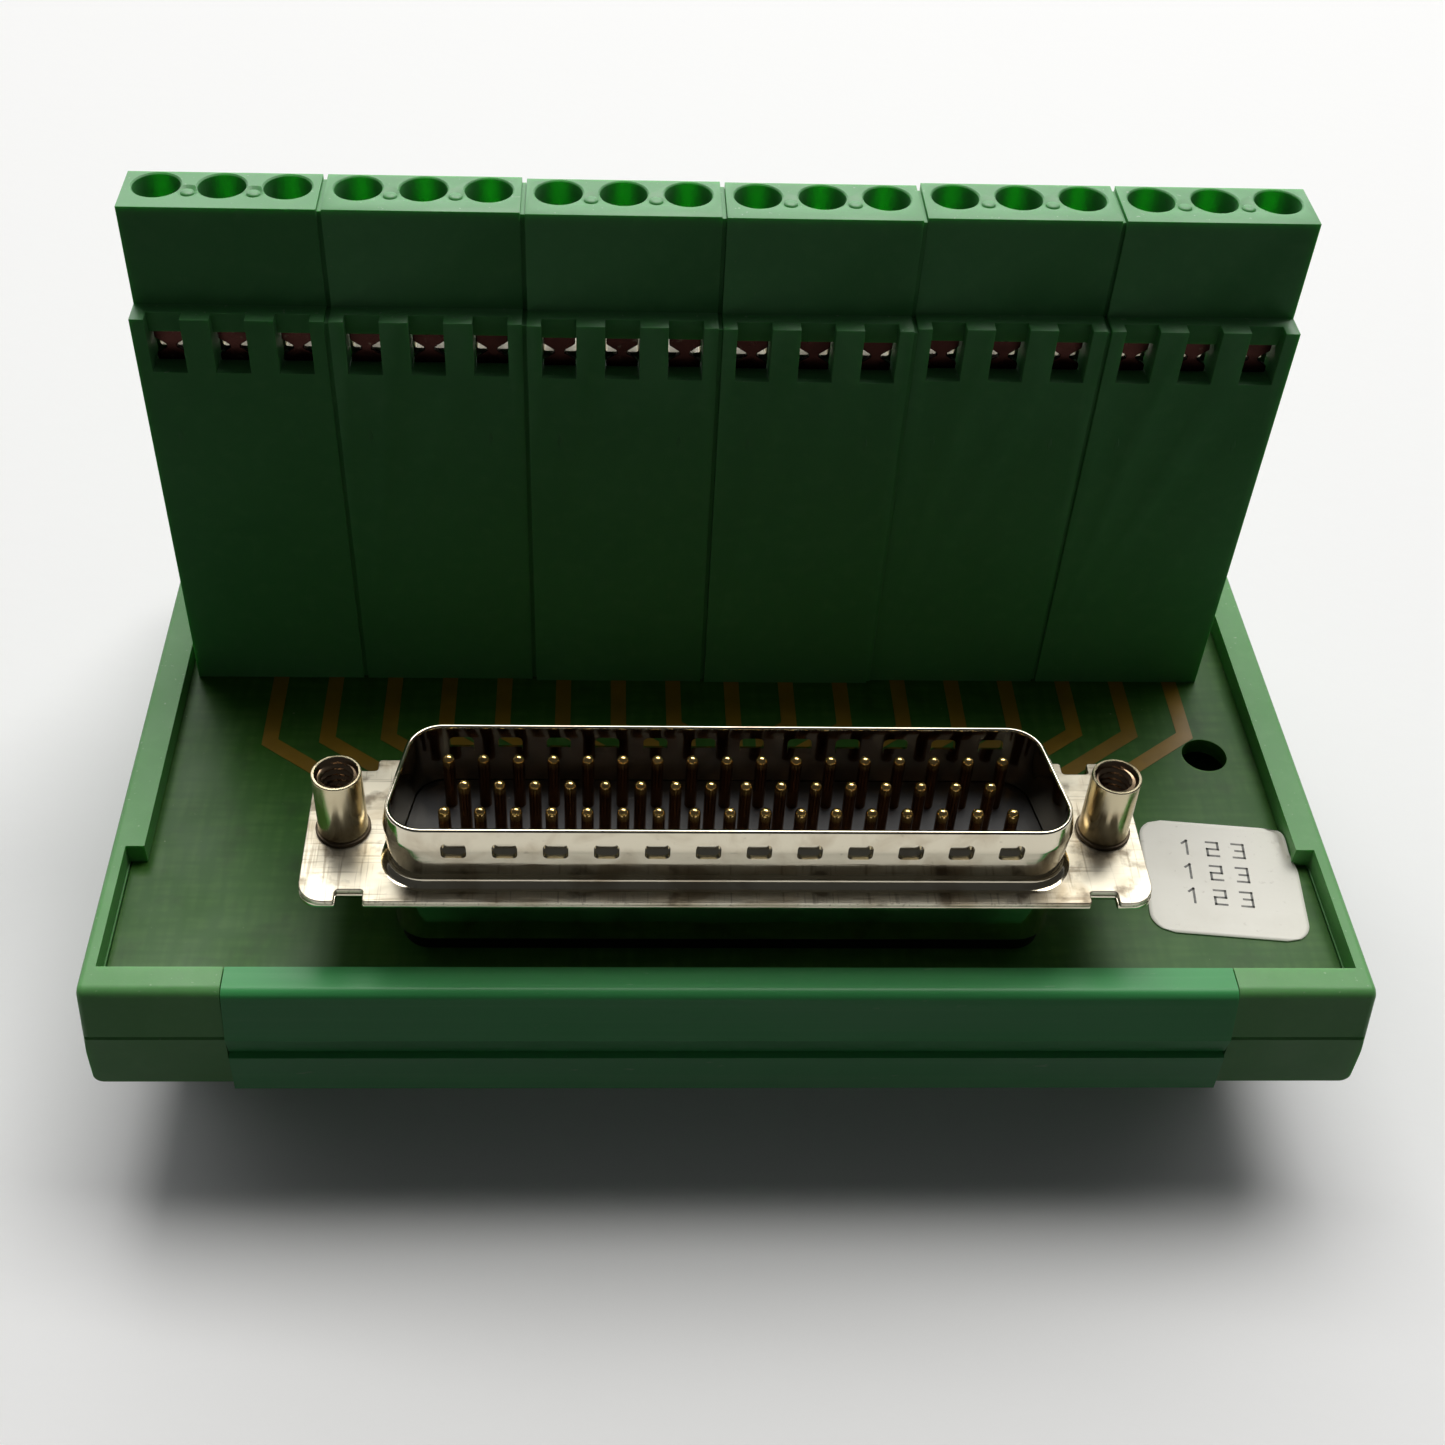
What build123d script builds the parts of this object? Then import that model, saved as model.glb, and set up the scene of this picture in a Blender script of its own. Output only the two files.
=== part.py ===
from build123d import *
import os
from math import tan, radians

# A 50-pole male D connector wired to six three-tier screw terminal blocks, on a
# board that sits in a rail-mounting base. Sizes are in millimetres.
# X runs along the terminal row, Y from the connector towards the wire side, Z up
# from the surface that the rail feet stand on.

# Mounting base
row_margin = 8.98
base_depth = 77.0
side_length = 11.15
side_inset = 0.4
seam = 0.1
board_level = 20.0
rim_height = 2.0
rim_inset = 1.45
lip_inset = 4.1
bend_inset = 0.15
bend_drop = 4.4
undercut = 0.4
undercut_height = 2.1
base_bottom = 11.2
side_rise = 0.6
floor_thickness = 1.8
side_floor_thickness = 2.2
wall_thickness = 1.6
ledge_depth_under = 1.4
ledge_thickness = 1.35
narrow_rim = 1.2
wide_rim = 2.75
wide_rim_span = 43.3
rim_round = 0.9
end_round = 0.55
side_round = 0.8
groove = 0.2
tongue_length = 4.0
tongue_width = 13.0
tongue_thickness = 1.5
tongue_offset = 26.0

# Rail feet, for a top-hat rail
foot_width = 8.6
foot_half_span = 24.5
rail_width = 35.0
rail_seat = 4.6
rail_grip = 1.6
rail_play = 0.4
rail_lip = 1.0
seat_relief = 0.4
hook_height = 3.2
hook_thickness = 3.6
arm_thickness = 1.9
arm_gap = 3.8
latch_tab = 5.0
foot_top_web = 2.0
peg_size = 3.0
peg_spacing = 20.0
peg_play = 0.1

# Circuit board
board_end_inset = 1.4
board_side_inset = 2.6
board_thickness = 1.6
board_play = 0.05
board_hole_diameter = 4.0
board_hole_end_inset = 7.2
board_hole_gap = 9.6

# Connector
connector_x = -0.55
connector_inset = 13.1
pin_pitch = 2.76
row_pitch = 2.84
long_row_count = 17
short_row_count = 16
flange_end = 2.91
flange_side = 1.81
flange_level = 8.36
sheet = 0.5
flange_corner = 1.5
rear_flange_step = 0.235
post_gap = 3.405
flange_hole_diameter = 3.1
notch_shift = 1.055
flange_notch_width = 2.1
flange_notch_depth = 1.25
shell_end_margin = 5.07
shell_side_margin = 3.035
shell_height = 6.05
shell_wall = 0.4
shell_lean = 10.0
shell_corner = 2.9
shell_slots = 12
slot_margin = 5.7
slot_width = 1.95
slot_height = 1.7
slot_level = 4.05
cup_depth = 6.2
insulator_play = 0.05
pin_diameter = 1.0
pin_sides = 8
pin_reach = 5.4

# Jack posts and what holds them
post_diameter = 3.95
post_height = 6.35
post_bore = 2.44
stud_diameter = 2.8
stud_length = 3.6
washer_diameter = 4.4
washer_thickness = 0.35
nut_width = 4.76
nut_thickness = 1.6
stud_play = 0.1

# Terminal blocks
blocks = 6
poles = 3
tiers = 3
pole_pitch = 5.08
block_gap = 0.38
block_row_x = -1.25
block_row_inset = 37.2
block_stagger = (0.0, 0.0, -0.2, -0.3, 0.1, 0.1)
lowest_pocket_floor = 4.85
tier_rise = 14.0
tier_run = 9.6
ledge_drop = 8.5
ledge_depth = 2.3
tower_depth = 5.56
tower_height = 3.7
shoulder_run = 2.25
shoulder_drop = 2.4
well_wall = 1.18
well_sides = 12
well_inset = 2.1
well_depth = 7.1
pocket_wall = 0.78
pocket_height = 6.75
pocket_front = 0.6
notch_wall = 2.28
notch_depth = 1.1
sill_height = 0.45
window_height = 3.15

# Clamps inside the blocks
cage_play = 0.1
cage_depth = 4.8
cage_height = 5.85
cage_wall = 0.7
bar_play = 0.45
bar_thickness = 0.8
leg_thickness = 0.5
leg_setback = 0.8
leg_play = 0.1
screw_play = 0.15
screw_sides = 8
screw_height = 2.6

# Label on the board
label_length = 12.7
label_depth = 12.5
label_thickness = 0.12
label_corner = 1.4
label_end_inset = 9.45
label_side_inset = 15.1
label_turn = -5.8

# Lengths and places that follow from the sizes above
block_width = poles * pole_pitch
block_pitch = block_width + block_gap
half_length = (blocks * block_pitch + row_margin) / 2
half_depth = base_depth / 2
seam_x = half_length - side_length
rim_reach = half_depth - rim_inset
lip_reach = half_depth - lip_inset
bend_reach = half_depth - bend_inset
board_length = 2 * (half_length - board_end_inset)
board_depth = 2 * (half_depth - board_side_inset)
block_front_y = half_depth - block_row_inset
board_hole_x = half_length - board_hole_end_inset
board_hole_y = block_front_y - board_hole_gap
connector_y = connector_inset - half_depth
shell_length = (long_row_count - 1) * pin_pitch + 2 * shell_end_margin
shell_depth = 2 * row_pitch + 2 * shell_side_margin
slot_pitch = (shell_length - 2 * slot_margin) / (shell_slots - 1)
screw_spacing = shell_length + 2 * post_gap
notch_spacing = screw_spacing - 2 * notch_shift
flange_length = screw_spacing + 2 * flange_end
flange_depth = shell_depth + 2 * flange_side
rear_flange_depth = flange_depth - 2 * rear_flange_step
label_x = half_length - label_end_inset
label_y = label_side_inset - half_depth
well_diameter = pole_pitch - well_wall
pocket_width = pole_pitch - pocket_wall
notch_width = pole_pitch - notch_wall
cage_width = pocket_width - 2 * cage_play
bar_width = cage_width - 2 * cage_wall - 2 * bar_play
screw_head = well_diameter - 2 * screw_play

# Levels that follow from the sizes above
rim_top = board_level + rim_height
board_bottom = board_level - board_thickness
slot_top = board_level + board_play
slot_bottom = board_bottom - board_play
slot_reach = board_depth / 2 + 2 * board_play
ledge_reach = slot_reach - ledge_depth_under
ledge_bottom = slot_bottom - ledge_thickness
bend_level = rim_top - bend_drop
belt_level = bend_level - undercut_height
profile_floor = base_bottom + floor_thickness
side_bottom = base_bottom + side_rise
side_floor = side_bottom + side_floor_thickness
flange_top = board_level + flange_level
tower_back = ledge_depth + tower_depth
tier_back = tower_back + shoulder_run
window_floor = lowest_pocket_floor + (tiers - 1) * tier_rise
block_height = window_floor + pocket_height + well_depth
ledge_height = block_height - ledge_drop

os.makedirs("parts", exist_ok=True)


def save(part, label):
    """Label a finished piece and write it to its own file."""
    part.label = label
    export_step(part, f"parts/{label}.step")


# Extruded profile, the long middle piece of the base, drawn as two halves
profile_half = [
    (0, base_bottom),
    (0, profile_floor),
    (half_depth - wall_thickness - undercut, profile_floor),
    (half_depth - wall_thickness - undercut, ledge_bottom),
    (ledge_reach, ledge_bottom),
    (ledge_reach, slot_bottom),
    (slot_reach, slot_bottom),
    (slot_reach, slot_top),
    (lip_reach, slot_top),
    (lip_reach, rim_top),
    (rim_reach, rim_top),
    (bend_reach, bend_level),
    (bend_reach - undercut, belt_level + groove),
    (bend_reach - undercut - groove, belt_level),
    (bend_reach, belt_level - groove),
    (half_depth, base_bottom + groove),
    (half_depth - groove, base_bottom),
]
with BuildPart() as base_profile:
    with BuildSketch(Plane.YZ.offset(seam - seam_x)):
        for turn in (1, -1):
            with BuildLine():
                Polyline([(turn * y, z) for y, z in profile_half], close=True)
            make_face()
    extrude(amount=2 * (seam_x - seam))
    rim_edges = base_profile.edges().filter_by(Axis.X).group_by(Axis.Z)[-1]
    fillet([rim_edges.sort_by(Axis.Y)[0], rim_edges.sort_by(Axis.Y)[-1]], rim_round)
save(base_profile.part, "base_profile")

# Moulded side elements, which close the profile's ends and clip onto its cavity
side_half = [
    (rim_reach - side_inset / 2, rim_top),
    (bend_reach - side_inset, bend_level),
    (bend_reach - side_inset - groove, bend_level - groove),
    (bend_reach - side_inset, bend_level - 2 * groove),
    (half_depth - side_inset, side_bottom),
]
side_middle = seam_x + side_length / 2
with BuildPart() as side_element_right:
    with BuildSketch(Plane.YZ.offset(seam_x)):
        with BuildLine():
            Polyline(side_half + [(-y, z) for y, z in reversed(side_half)], close=True)
        make_face()
    extrude(amount=side_length)
    outer_edges = side_element_right.edges()
    fillet(outer_edges.filter_by(Axis.Y).group_by(Axis.X)[-1].group_by(Axis.Z)[0], side_round)
    top_edges = side_element_right.edges().group_by(Axis.Z)[-1]
    fillet(top_edges.filter_by(Axis.X), rim_round)
    end_edges = side_element_right.edges().group_by(Axis.Z)[-1].filter_by(Axis.Y).group_by(Axis.X)[-1]
    fillet(end_edges, end_round)
    # Slot for the board, the well under it and the window over it
    slot_end = board_length / 2 + 2 * board_play
    with BuildSketch(Plane.XY.offset(slot_bottom)):
        with Locations((seam_x, 0)):
            Rectangle(2 * (slot_end - seam_x), 2 * slot_reach)
    extrude(amount=slot_top - slot_bottom, mode=Mode.SUBTRACT)
    with BuildSketch(Plane.XY.offset(side_floor)):
        with Locations((seam_x, 0)):
            Rectangle(2 * (slot_end - ledge_depth_under - seam_x), 2 * ledge_reach)
    extrude(amount=slot_bottom - side_floor, mode=Mode.SUBTRACT)
    with BuildSketch(Plane.XY.offset(slot_top)):
        with Locations((seam_x, 0)):
            Rectangle(2 * (half_length - narrow_rim - seam_x), 2 * lip_reach)
        with Locations((half_length - narrow_rim, 0)):
            Rectangle(2 * (wide_rim - narrow_rim), wide_rim_span, mode=Mode.SUBTRACT)
    extrude(amount=rim_height, mode=Mode.SUBTRACT)
    # Tongues that plug into the profile over its floor
    with BuildSketch(Plane.XY.offset(profile_floor + seam)):
        with Locations((seam_x, tongue_offset), (seam_x, -tongue_offset)):
            Rectangle(2 * tongue_length, tongue_width)
    extrude(amount=tongue_thickness)
    # Holes for the pegs of the rail foot
    with BuildSketch(Plane.XY.offset(side_bottom)):
        with Locations((side_middle, peg_spacing / 2), (side_middle, -peg_spacing / 2)):
            Rectangle(peg_size + 2 * peg_play, peg_size + 2 * peg_play)
    extrude(amount=side_floor_thickness, mode=Mode.SUBTRACT)
save(side_element_right.part, "side_element_right")
with BuildPart() as side_element_left:
    add(mirror(side_element_right.part, about=Plane.YZ))
save(side_element_left.part, "side_element_left")

# Rail feet: a fixed hook on the wire side and a spring latch on the connector side
grip_reach = rail_width / 2 + rail_play
nose_reach = grip_reach - rail_grip - rail_play
arm_outer = grip_reach + rail_play + arm_thickness
foot_outline = [
    (foot_half_span, side_bottom),
    (foot_half_span, side_bottom - foot_top_web),
    (grip_reach + hook_thickness, rail_seat),
    (grip_reach + hook_thickness, 0),
    (grip_reach - rail_lip, 0),
    (nose_reach, rail_lip),
    (nose_reach, hook_height),
    (grip_reach, rail_seat - rail_lip),
    (grip_reach, rail_seat + seat_relief),
    (nose_reach - seat_relief, rail_seat + seat_relief),
    (nose_reach - seat_relief, rail_seat),
    (arm_gap - grip_reach, rail_seat),
    (arm_gap - grip_reach, side_bottom - 2 * foot_top_web),
    (-grip_reach - rail_play, side_bottom - 2 * foot_top_web),
    (-grip_reach - rail_play, rail_seat - rail_lip),
    (-nose_reach, hook_height),
    (-nose_reach, rail_lip),
    (-grip_reach + rail_lip, 0),
    (-arm_outer, 0),
    (-arm_outer, hook_height),
    (-arm_outer - latch_tab, hook_height),
    (-arm_outer - latch_tab, hook_height + arm_thickness),
    (-arm_outer, hook_height + arm_thickness),
    (-arm_outer, side_bottom - 2 * foot_top_web),
    (-foot_half_span, side_bottom - foot_top_web),
    (-foot_half_span, side_bottom),
]
with BuildPart() as rail_foot_right:
    with BuildSketch(Plane.YZ.offset(side_middle - foot_width / 2)):
        with BuildLine():
            Polyline(foot_outline, close=True)
        make_face()
    extrude(amount=foot_width)
    with BuildSketch(Plane.XY.offset(side_bottom)):
        with Locations((side_middle, peg_spacing / 2), (side_middle, -peg_spacing / 2)):
            Rectangle(peg_size, peg_size)
    extrude(amount=side_floor_thickness)
save(rail_foot_right.part, "rail_foot_right")
with BuildPart() as rail_foot_left:
    add(mirror(rail_foot_right.part, about=Plane.YZ))
save(rail_foot_left.part, "rail_foot_left")

# Places of every pin of the connector
row_places = [
    (connector_x + (index - (count - 1) / 2) * pin_pitch, connector_y + row * row_pitch, row)
    for row, count in ((-1, long_row_count), (0, short_row_count), (1, long_row_count))
    for index in range(count)
]
block_xs = [block_row_x + (number - (blocks - 1) / 2) * block_pitch for number in range(blocks)]
block_ys = [block_front_y + shift for shift in block_stagger]

# Circuit board
with BuildPart() as circuit_board:
    with BuildSketch(Plane.XY.offset(board_bottom)):
        Rectangle(board_length, board_depth)
        with Locations((board_hole_x, board_hole_y)):
            Circle(board_hole_diameter / 2, mode=Mode.SUBTRACT)
    extrude(amount=board_thickness)
save(circuit_board.part, "circuit_board")

# Label stuck on the board beside the connector
with BuildPart() as asset_label:
    with BuildSketch(Plane.XY.offset(board_level)):
        with Locations(Location((label_x, label_y), label_turn)):
            RectangleRounded(label_length, label_depth, label_corner)
    extrude(amount=label_thickness)
save(asset_label.part, "asset_label")


def shell_outline(grow):
    """Corners of the D outline, with its long side towards the viewer."""
    slope = tan(radians(shell_lean))
    front = shell_length / 2 + grow * (1 + slope)
    height = shell_depth / 2 + grow
    back = front - 2 * height * slope
    return [
        (connector_x - front, connector_y - height),
        (connector_x + front, connector_y - height),
        (connector_x + back, connector_y + height),
        (connector_x - back, connector_y + height),
    ]


flange_bottom = flange_top - sheet
screw_places = [(connector_x + turn * screw_spacing / 2, connector_y) for turn in (-1, 1)]
notch_places = [
    (connector_x + turn * notch_spacing / 2, connector_y + side * flange_depth / 2)
    for turn in (-1, 1)
    for side in (-1, 1)
]
inner_corner = shell_corner - shell_wall

# Front shell: a drawn D collar on a flange
with BuildPart() as front_shell:
    with BuildSketch(Plane.XY.offset(flange_bottom)):
        with Locations((connector_x, connector_y)):
            RectangleRounded(flange_length, flange_depth, flange_corner)
        with Locations(notch_places):
            Rectangle(flange_notch_width, 2 * flange_notch_depth, mode=Mode.SUBTRACT)
        with Locations(screw_places):
            Circle(flange_hole_diameter / 2, mode=Mode.SUBTRACT)
    extrude(amount=sheet)
    with BuildSketch(Plane.XY.offset(flange_top)) as collar:
        Polygon(shell_outline(0), align=None)
        fillet(collar.vertices(), shell_corner)
    extrude(amount=shell_height)
    with BuildSketch(Plane.XY.offset(flange_bottom)) as mouth:
        Polygon(shell_outline(-shell_wall), align=None)
        fillet(mouth.vertices(), inner_corner)
    extrude(amount=shell_height + sheet, mode=Mode.SUBTRACT)
    with BuildSketch(Plane.XZ.offset(-connector_y)):
        with Locations((connector_x, flange_top + slot_level)):
            with GridLocations(slot_pitch, 0, shell_slots, 1):
                Rectangle(slot_width, slot_height)
    extrude(amount=shell_depth, both=True, mode=Mode.SUBTRACT)
save(front_shell.part, "connector_front_shell")

# Rear shell: a second flange under the first, with a cup round the insulator
rear_bottom = flange_bottom - sheet
with BuildPart() as rear_shell:
    with BuildSketch(Plane.XY.offset(rear_bottom)):
        with Locations((connector_x, connector_y)):
            RectangleRounded(flange_length, rear_flange_depth, flange_corner)
        with Locations(notch_places):
            Rectangle(flange_notch_width, 2 * flange_notch_depth, mode=Mode.SUBTRACT)
        with Locations(screw_places):
            Circle(flange_hole_diameter / 2, mode=Mode.SUBTRACT)
    extrude(amount=sheet)
    with BuildSketch(Plane.XY.offset(flange_bottom - cup_depth)) as cup:
        Polygon(shell_outline(0), align=None)
        fillet(cup.vertices(), shell_corner)
    extrude(amount=cup_depth - sheet)
    with BuildSketch(Plane.XY.offset(flange_bottom - cup_depth)) as hollow:
        Polygon(shell_outline(-shell_wall), align=None)
        fillet(hollow.vertices(), inner_corner)
    extrude(amount=cup_depth, mode=Mode.SUBTRACT)
save(rear_shell.part, "connector_rear_shell")

# Insulator: a moulded D block from the board up to the flange
with BuildPart() as insulator:
    with BuildSketch(Plane.XY.offset(board_level)) as block:
        Polygon(shell_outline(-shell_wall - insulator_play), align=None)
        fillet(block.vertices(), inner_corner - insulator_play)
    extrude(amount=flange_level)
save(insulator.part, "connector_insulator")

# Contacts: one group of pins for each row, standing on the insulator's face
row_names = {-1: "front_row_contacts", 0: "middle_row_contacts", 1: "rear_row_contacts"}
for row, row_name in row_names.items():
    with BuildPart() as contacts:
        with BuildSketch(Plane.XY.offset(flange_top)):
            with Locations([(x, y) for x, y, place_row in row_places if place_row == row]):
                RegularPolygon(pin_diameter / 2, pin_sides)
        extrude(amount=pin_reach)
    save(contacts.part, row_name)

# Jack posts: round, tapped posts on a lock washer, with a stud through both flanges
post_bottom = flange_top + washer_thickness
for side, (post_x, post_y) in zip(("left", "right"), screw_places):
    with BuildPart() as jack_post:
        with BuildSketch(Plane.XY.offset(post_bottom)):
            with Locations((post_x, post_y)):
                Circle(post_diameter / 2)
        extrude(amount=post_height - washer_thickness)
        with BuildSketch(Plane.XY.offset(post_bottom)):
            with Locations((post_x, post_y)):
                Circle(stud_diameter / 2)
        extrude(amount=-stud_length)
        with Locations((post_x, post_y, flange_top + post_height)):
            Hole(post_bore / 2, depth=post_height - washer_thickness)
    save(jack_post.part, f"jack_post_{side}")

with BuildPart() as lock_washers:
    with BuildSketch(Plane.XY.offset(flange_top)):
        with Locations(screw_places):
            Circle(washer_diameter / 2)
            Circle(stud_diameter / 2 + stud_play, mode=Mode.SUBTRACT)
    extrude(amount=washer_thickness)
save(lock_washers.part, "post_lock_washers")

with BuildPart() as post_nuts:
    with BuildSketch(Plane.XY.offset(rear_bottom)):
        with Locations(screw_places):
            RegularPolygon(nut_width / 2, 6, major_radius=False)
            Circle(stud_diameter / 2 + stud_play, mode=Mode.SUBTRACT)
    extrude(amount=-nut_thickness)
save(post_nuts.part, "post_nuts")

# Side outline of a terminal block: a stair of three towers
stair = [(0, 0), (0, ledge_height), (ledge_depth, ledge_height), (ledge_depth, block_height)]
for tier in range(tiers):
    tread = block_height - tier * tier_rise
    shift = tier * tier_run
    stair += [
        (tower_back + shift, tread),
        (tower_back + shift, tread - tower_height),
        (tier_back + shift, tread - tower_height - shoulder_drop),
    ]
    if tier < tiers - 1:
        stair.append((tier_back + shift, tread - tier_rise))
stair.append((tier_back + (tiers - 1) * tier_run, 0))

sill = window_floor + sill_height
pocket_face = ledge_depth + pocket_front
pocket_depth = tier_back - pocket_face
pocket_middle = tier_back - pocket_depth / 2
well_y = tower_back - well_inset
with BuildPart() as housing:
    with BuildSketch(Plane.YZ.offset(-block_width / 2)):
        with BuildLine():
            Polyline(stair, close=True)
        make_face()
    extrude(amount=block_width)
    for tier in range(tiers):
        shift = tier * tier_run
        tread = block_height - tier * tier_rise
        # Screw wells, and under them the clamp pockets that open on the wire side
        with BuildSketch(Plane.XY.offset(tread)):
            with Locations((0, well_y + shift)):
                with GridLocations(pole_pitch, 0, poles, 1):
                    RegularPolygon(well_diameter / 2, well_sides)
        extrude(amount=-well_depth, mode=Mode.SUBTRACT)
        with BuildSketch(Plane.XY.offset(tread - well_depth)):
            with Locations((0, pocket_middle + shift)):
                with GridLocations(pole_pitch, 0, poles, 1):
                    Rectangle(pocket_width, pocket_depth)
        extrude(amount=-pocket_height, mode=Mode.SUBTRACT)
    # Notches in the plain wall of the top tier, each with a window onto its clamp
    with BuildSketch(Plane.XY.offset(sill)):
        with Locations((0, notch_depth / 2)):
            with GridLocations(pole_pitch, 0, poles, 1):
                Rectangle(notch_width, notch_depth)
    extrude(amount=ledge_height - sill, mode=Mode.SUBTRACT)
    with BuildSketch(Plane.XY.offset(sill)):
        with Locations((0, (notch_depth + pocket_face) / 2)):
            with GridLocations(pole_pitch, 0, poles, 1):
                Rectangle(notch_width, pocket_face - notch_depth)
    extrude(amount=window_height, mode=Mode.SUBTRACT)

# Clamp cages of one block: folded sleeves that stand on the pocket floors
leg_face = pocket_face + leg_play
cage_front = leg_face + leg_thickness + 2 * leg_play
with BuildPart() as cages:
    for tier in range(tiers):
        with BuildSketch(Plane.XZ.offset(-cage_front - tier * tier_run)):
            with Locations((0, window_floor - tier * tier_rise + cage_height / 2)):
                with GridLocations(pole_pitch, 0, poles, 1):
                    Rectangle(cage_width, cage_height)
                    Rectangle(cage_width - 2 * cage_wall, cage_height - 2 * cage_wall, mode=Mode.SUBTRACT)
        extrude(amount=-cage_depth)

# Contact strips of one block: a bar through each cage and a leg, which stands on the
# window's sill in the top tier and on the pocket's floor in the others
bar_top = sill + window_height - leg_play
bar_end = cage_front + cage_depth


def strip_outline(face, foot, shift, drop):
    """Side outline of one strip, from the front of its leg to the end of its bar."""
    return [
        (face + shift, foot - drop),
        (face + shift, bar_top - drop),
        (bar_end + shift, bar_top - drop),
        (bar_end + shift, bar_top - bar_thickness - drop),
        (face + leg_thickness + shift, bar_top - bar_thickness - drop),
        (face + leg_thickness + shift, foot - drop),
    ]


with BuildPart() as strips:
    for place in GridLocations(pole_pitch, 0, poles, 1):
        with BuildSketch(Plane.YZ.offset(place.position.X - bar_width / 2)):
            for tier in range(tiers):
                leg, foot = (notch_depth + leg_setback, sill) if tier == 0 else (leg_face, window_floor)
                with BuildLine():
                    Polyline(strip_outline(leg, foot, tier * tier_run, tier * tier_rise), close=True)
                make_face()
        extrude(amount=bar_width)

# Clamp screws of one block: heads that stand on the cages, down in the wells
with BuildPart() as screws:
    for tier in range(tiers):
        with BuildSketch(Plane.XY.offset(window_floor + cage_height - tier * tier_rise)):
            with Locations((0, well_y + tier * tier_run)):
                with GridLocations(pole_pitch, 0, poles, 1):
                    RegularPolygon(screw_head / 2, screw_sides)
        extrude(amount=screw_height)

# Six blocks in a row, each set on the board where its own pins hold it
pieces = {
    "terminal_housing": housing,
    "clamp_cages": cages,
    "contact_strips": strips,
    "clamp_screws": screws,
}
for number, (block_x, block_y) in enumerate(zip(block_xs, block_ys), start=1):
    for piece_name, piece in pieces.items():
        with BuildPart() as placed:
            add(piece.part.moved(Location((block_x, block_y, board_level))))
        save(placed.part, f"{piece_name}_{number}")
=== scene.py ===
import math
import random

import bmesh
import bpy
from mathutils import Matrix, Vector


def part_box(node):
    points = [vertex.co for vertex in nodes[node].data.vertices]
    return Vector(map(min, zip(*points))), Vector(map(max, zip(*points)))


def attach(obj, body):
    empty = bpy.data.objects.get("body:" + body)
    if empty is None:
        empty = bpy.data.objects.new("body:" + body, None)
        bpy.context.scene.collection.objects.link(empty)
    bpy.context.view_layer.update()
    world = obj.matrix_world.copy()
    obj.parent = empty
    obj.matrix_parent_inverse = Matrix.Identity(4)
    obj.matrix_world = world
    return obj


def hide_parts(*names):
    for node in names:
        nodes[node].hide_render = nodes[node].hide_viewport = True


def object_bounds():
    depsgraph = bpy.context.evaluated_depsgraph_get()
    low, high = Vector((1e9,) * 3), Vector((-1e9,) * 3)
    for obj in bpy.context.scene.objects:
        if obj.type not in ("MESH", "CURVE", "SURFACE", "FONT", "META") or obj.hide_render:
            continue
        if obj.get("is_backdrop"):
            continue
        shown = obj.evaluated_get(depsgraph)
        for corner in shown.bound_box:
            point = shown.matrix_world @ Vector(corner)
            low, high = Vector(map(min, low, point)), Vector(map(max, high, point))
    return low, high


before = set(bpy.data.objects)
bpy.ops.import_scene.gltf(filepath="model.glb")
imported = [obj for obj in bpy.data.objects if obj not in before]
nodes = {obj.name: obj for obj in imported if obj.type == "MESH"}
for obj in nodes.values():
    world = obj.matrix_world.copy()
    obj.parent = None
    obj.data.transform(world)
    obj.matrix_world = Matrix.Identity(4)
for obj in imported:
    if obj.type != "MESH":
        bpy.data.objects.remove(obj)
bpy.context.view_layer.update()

MM = 0.001
random.seed(7)

# Light in metres and watts: the dome in front of and behind the object, the floor and the lamp
DOME_FRONT = 0.045
DOME_BACK = 1.7
DOME_SPAN = (0.3, 0.9)
DOME_TINT = (0.98, 0.99, 1.0, 1)
WINDOW_WATTS = 9.3
FLOOR_COLOR = (0.91, 0.91, 0.91, 1)
FLOOR_BOUNCE = (0.045, 0.045, 0.045, 1)
FLOOR_REACH = 4.0
WINDOW_PLACE = (0.1, 0.395, 0.945)
WINDOW_TARGET = (0, 0, 0.03)
WINDOW_SIZE = (1.0, 0.5)
WINDOW_TINT = (1.0, 0.99, 0.97)

# Sizes of the blocks in millimetres, from their front and the board. The nubs' outlines start at the top
TIERS = 3
TIER_RISE = 14.0
TIER_RUN = 9.6
POLES = (-5.08, 0.0, 5.08)
BLOCK_HEIGHT = 46.7
LEDGE_HEIGHT = 38.2
LEDGE_DEPTH = 2.3
TOWER_BACK = 7.86
TIER_BACK = 10.11
SHOULDER_TOP = 3.7
SHOULDER_DROP = 2.4
WELL_Y = 5.76
WELL_RADIUS = 1.88
WELL_CHAMFER = (0.14, 0.12)
HEAD_BASE = 38.72
POCKET_HALF = 2.15
POCKET_FRONT = 2.9
POCKET_BACK = 9.0
POCKET_TOP = 39.6
POCKET_FLOOR = 32.85
FUNNEL_MIDDLE = POCKET_FLOOR + 3.1
FUNNEL_HALF = (1.6, 2.2)
FUNNEL_SLOPE = 0.45
FUNNEL_PAST = 0.2
SILL = 33.3
WINDOW_TOP = 36.45
WINDOW_FRONT = 0.6
WINDOW_BACK = 3.4
NOTCH_WIDTH = 2.8
NOTCH_DEPTH = 1.1
CUT_PAST = 1
NUBS = (-2.54, 2.54)
NUB_Y = 4.9
NUB_HEIGHT = 0.2
NUB_SECTION = [(0, -0.3), (0.58, -0.3), (0.56, -0.18), (0.5, -0.09), (0.36, -0.03), (0, 0)]
NUB_DISH = [(0, -NUB_HEIGHT), (0.6, -NUB_HEIGHT), (0.95, 0), (0.95, CUT_PAST), (0, CUT_PAST)]
DIAMONDS = (-5.15, 4.75)
DIAMOND_HEIGHT = 27.2
DIAMOND_HALF = (0.28, 0.75)
DIAMOND_ROOT = 0.03
GAP_RIB_INSET = 0.3
GAP_RIB_ROOT = 0.1
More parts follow.
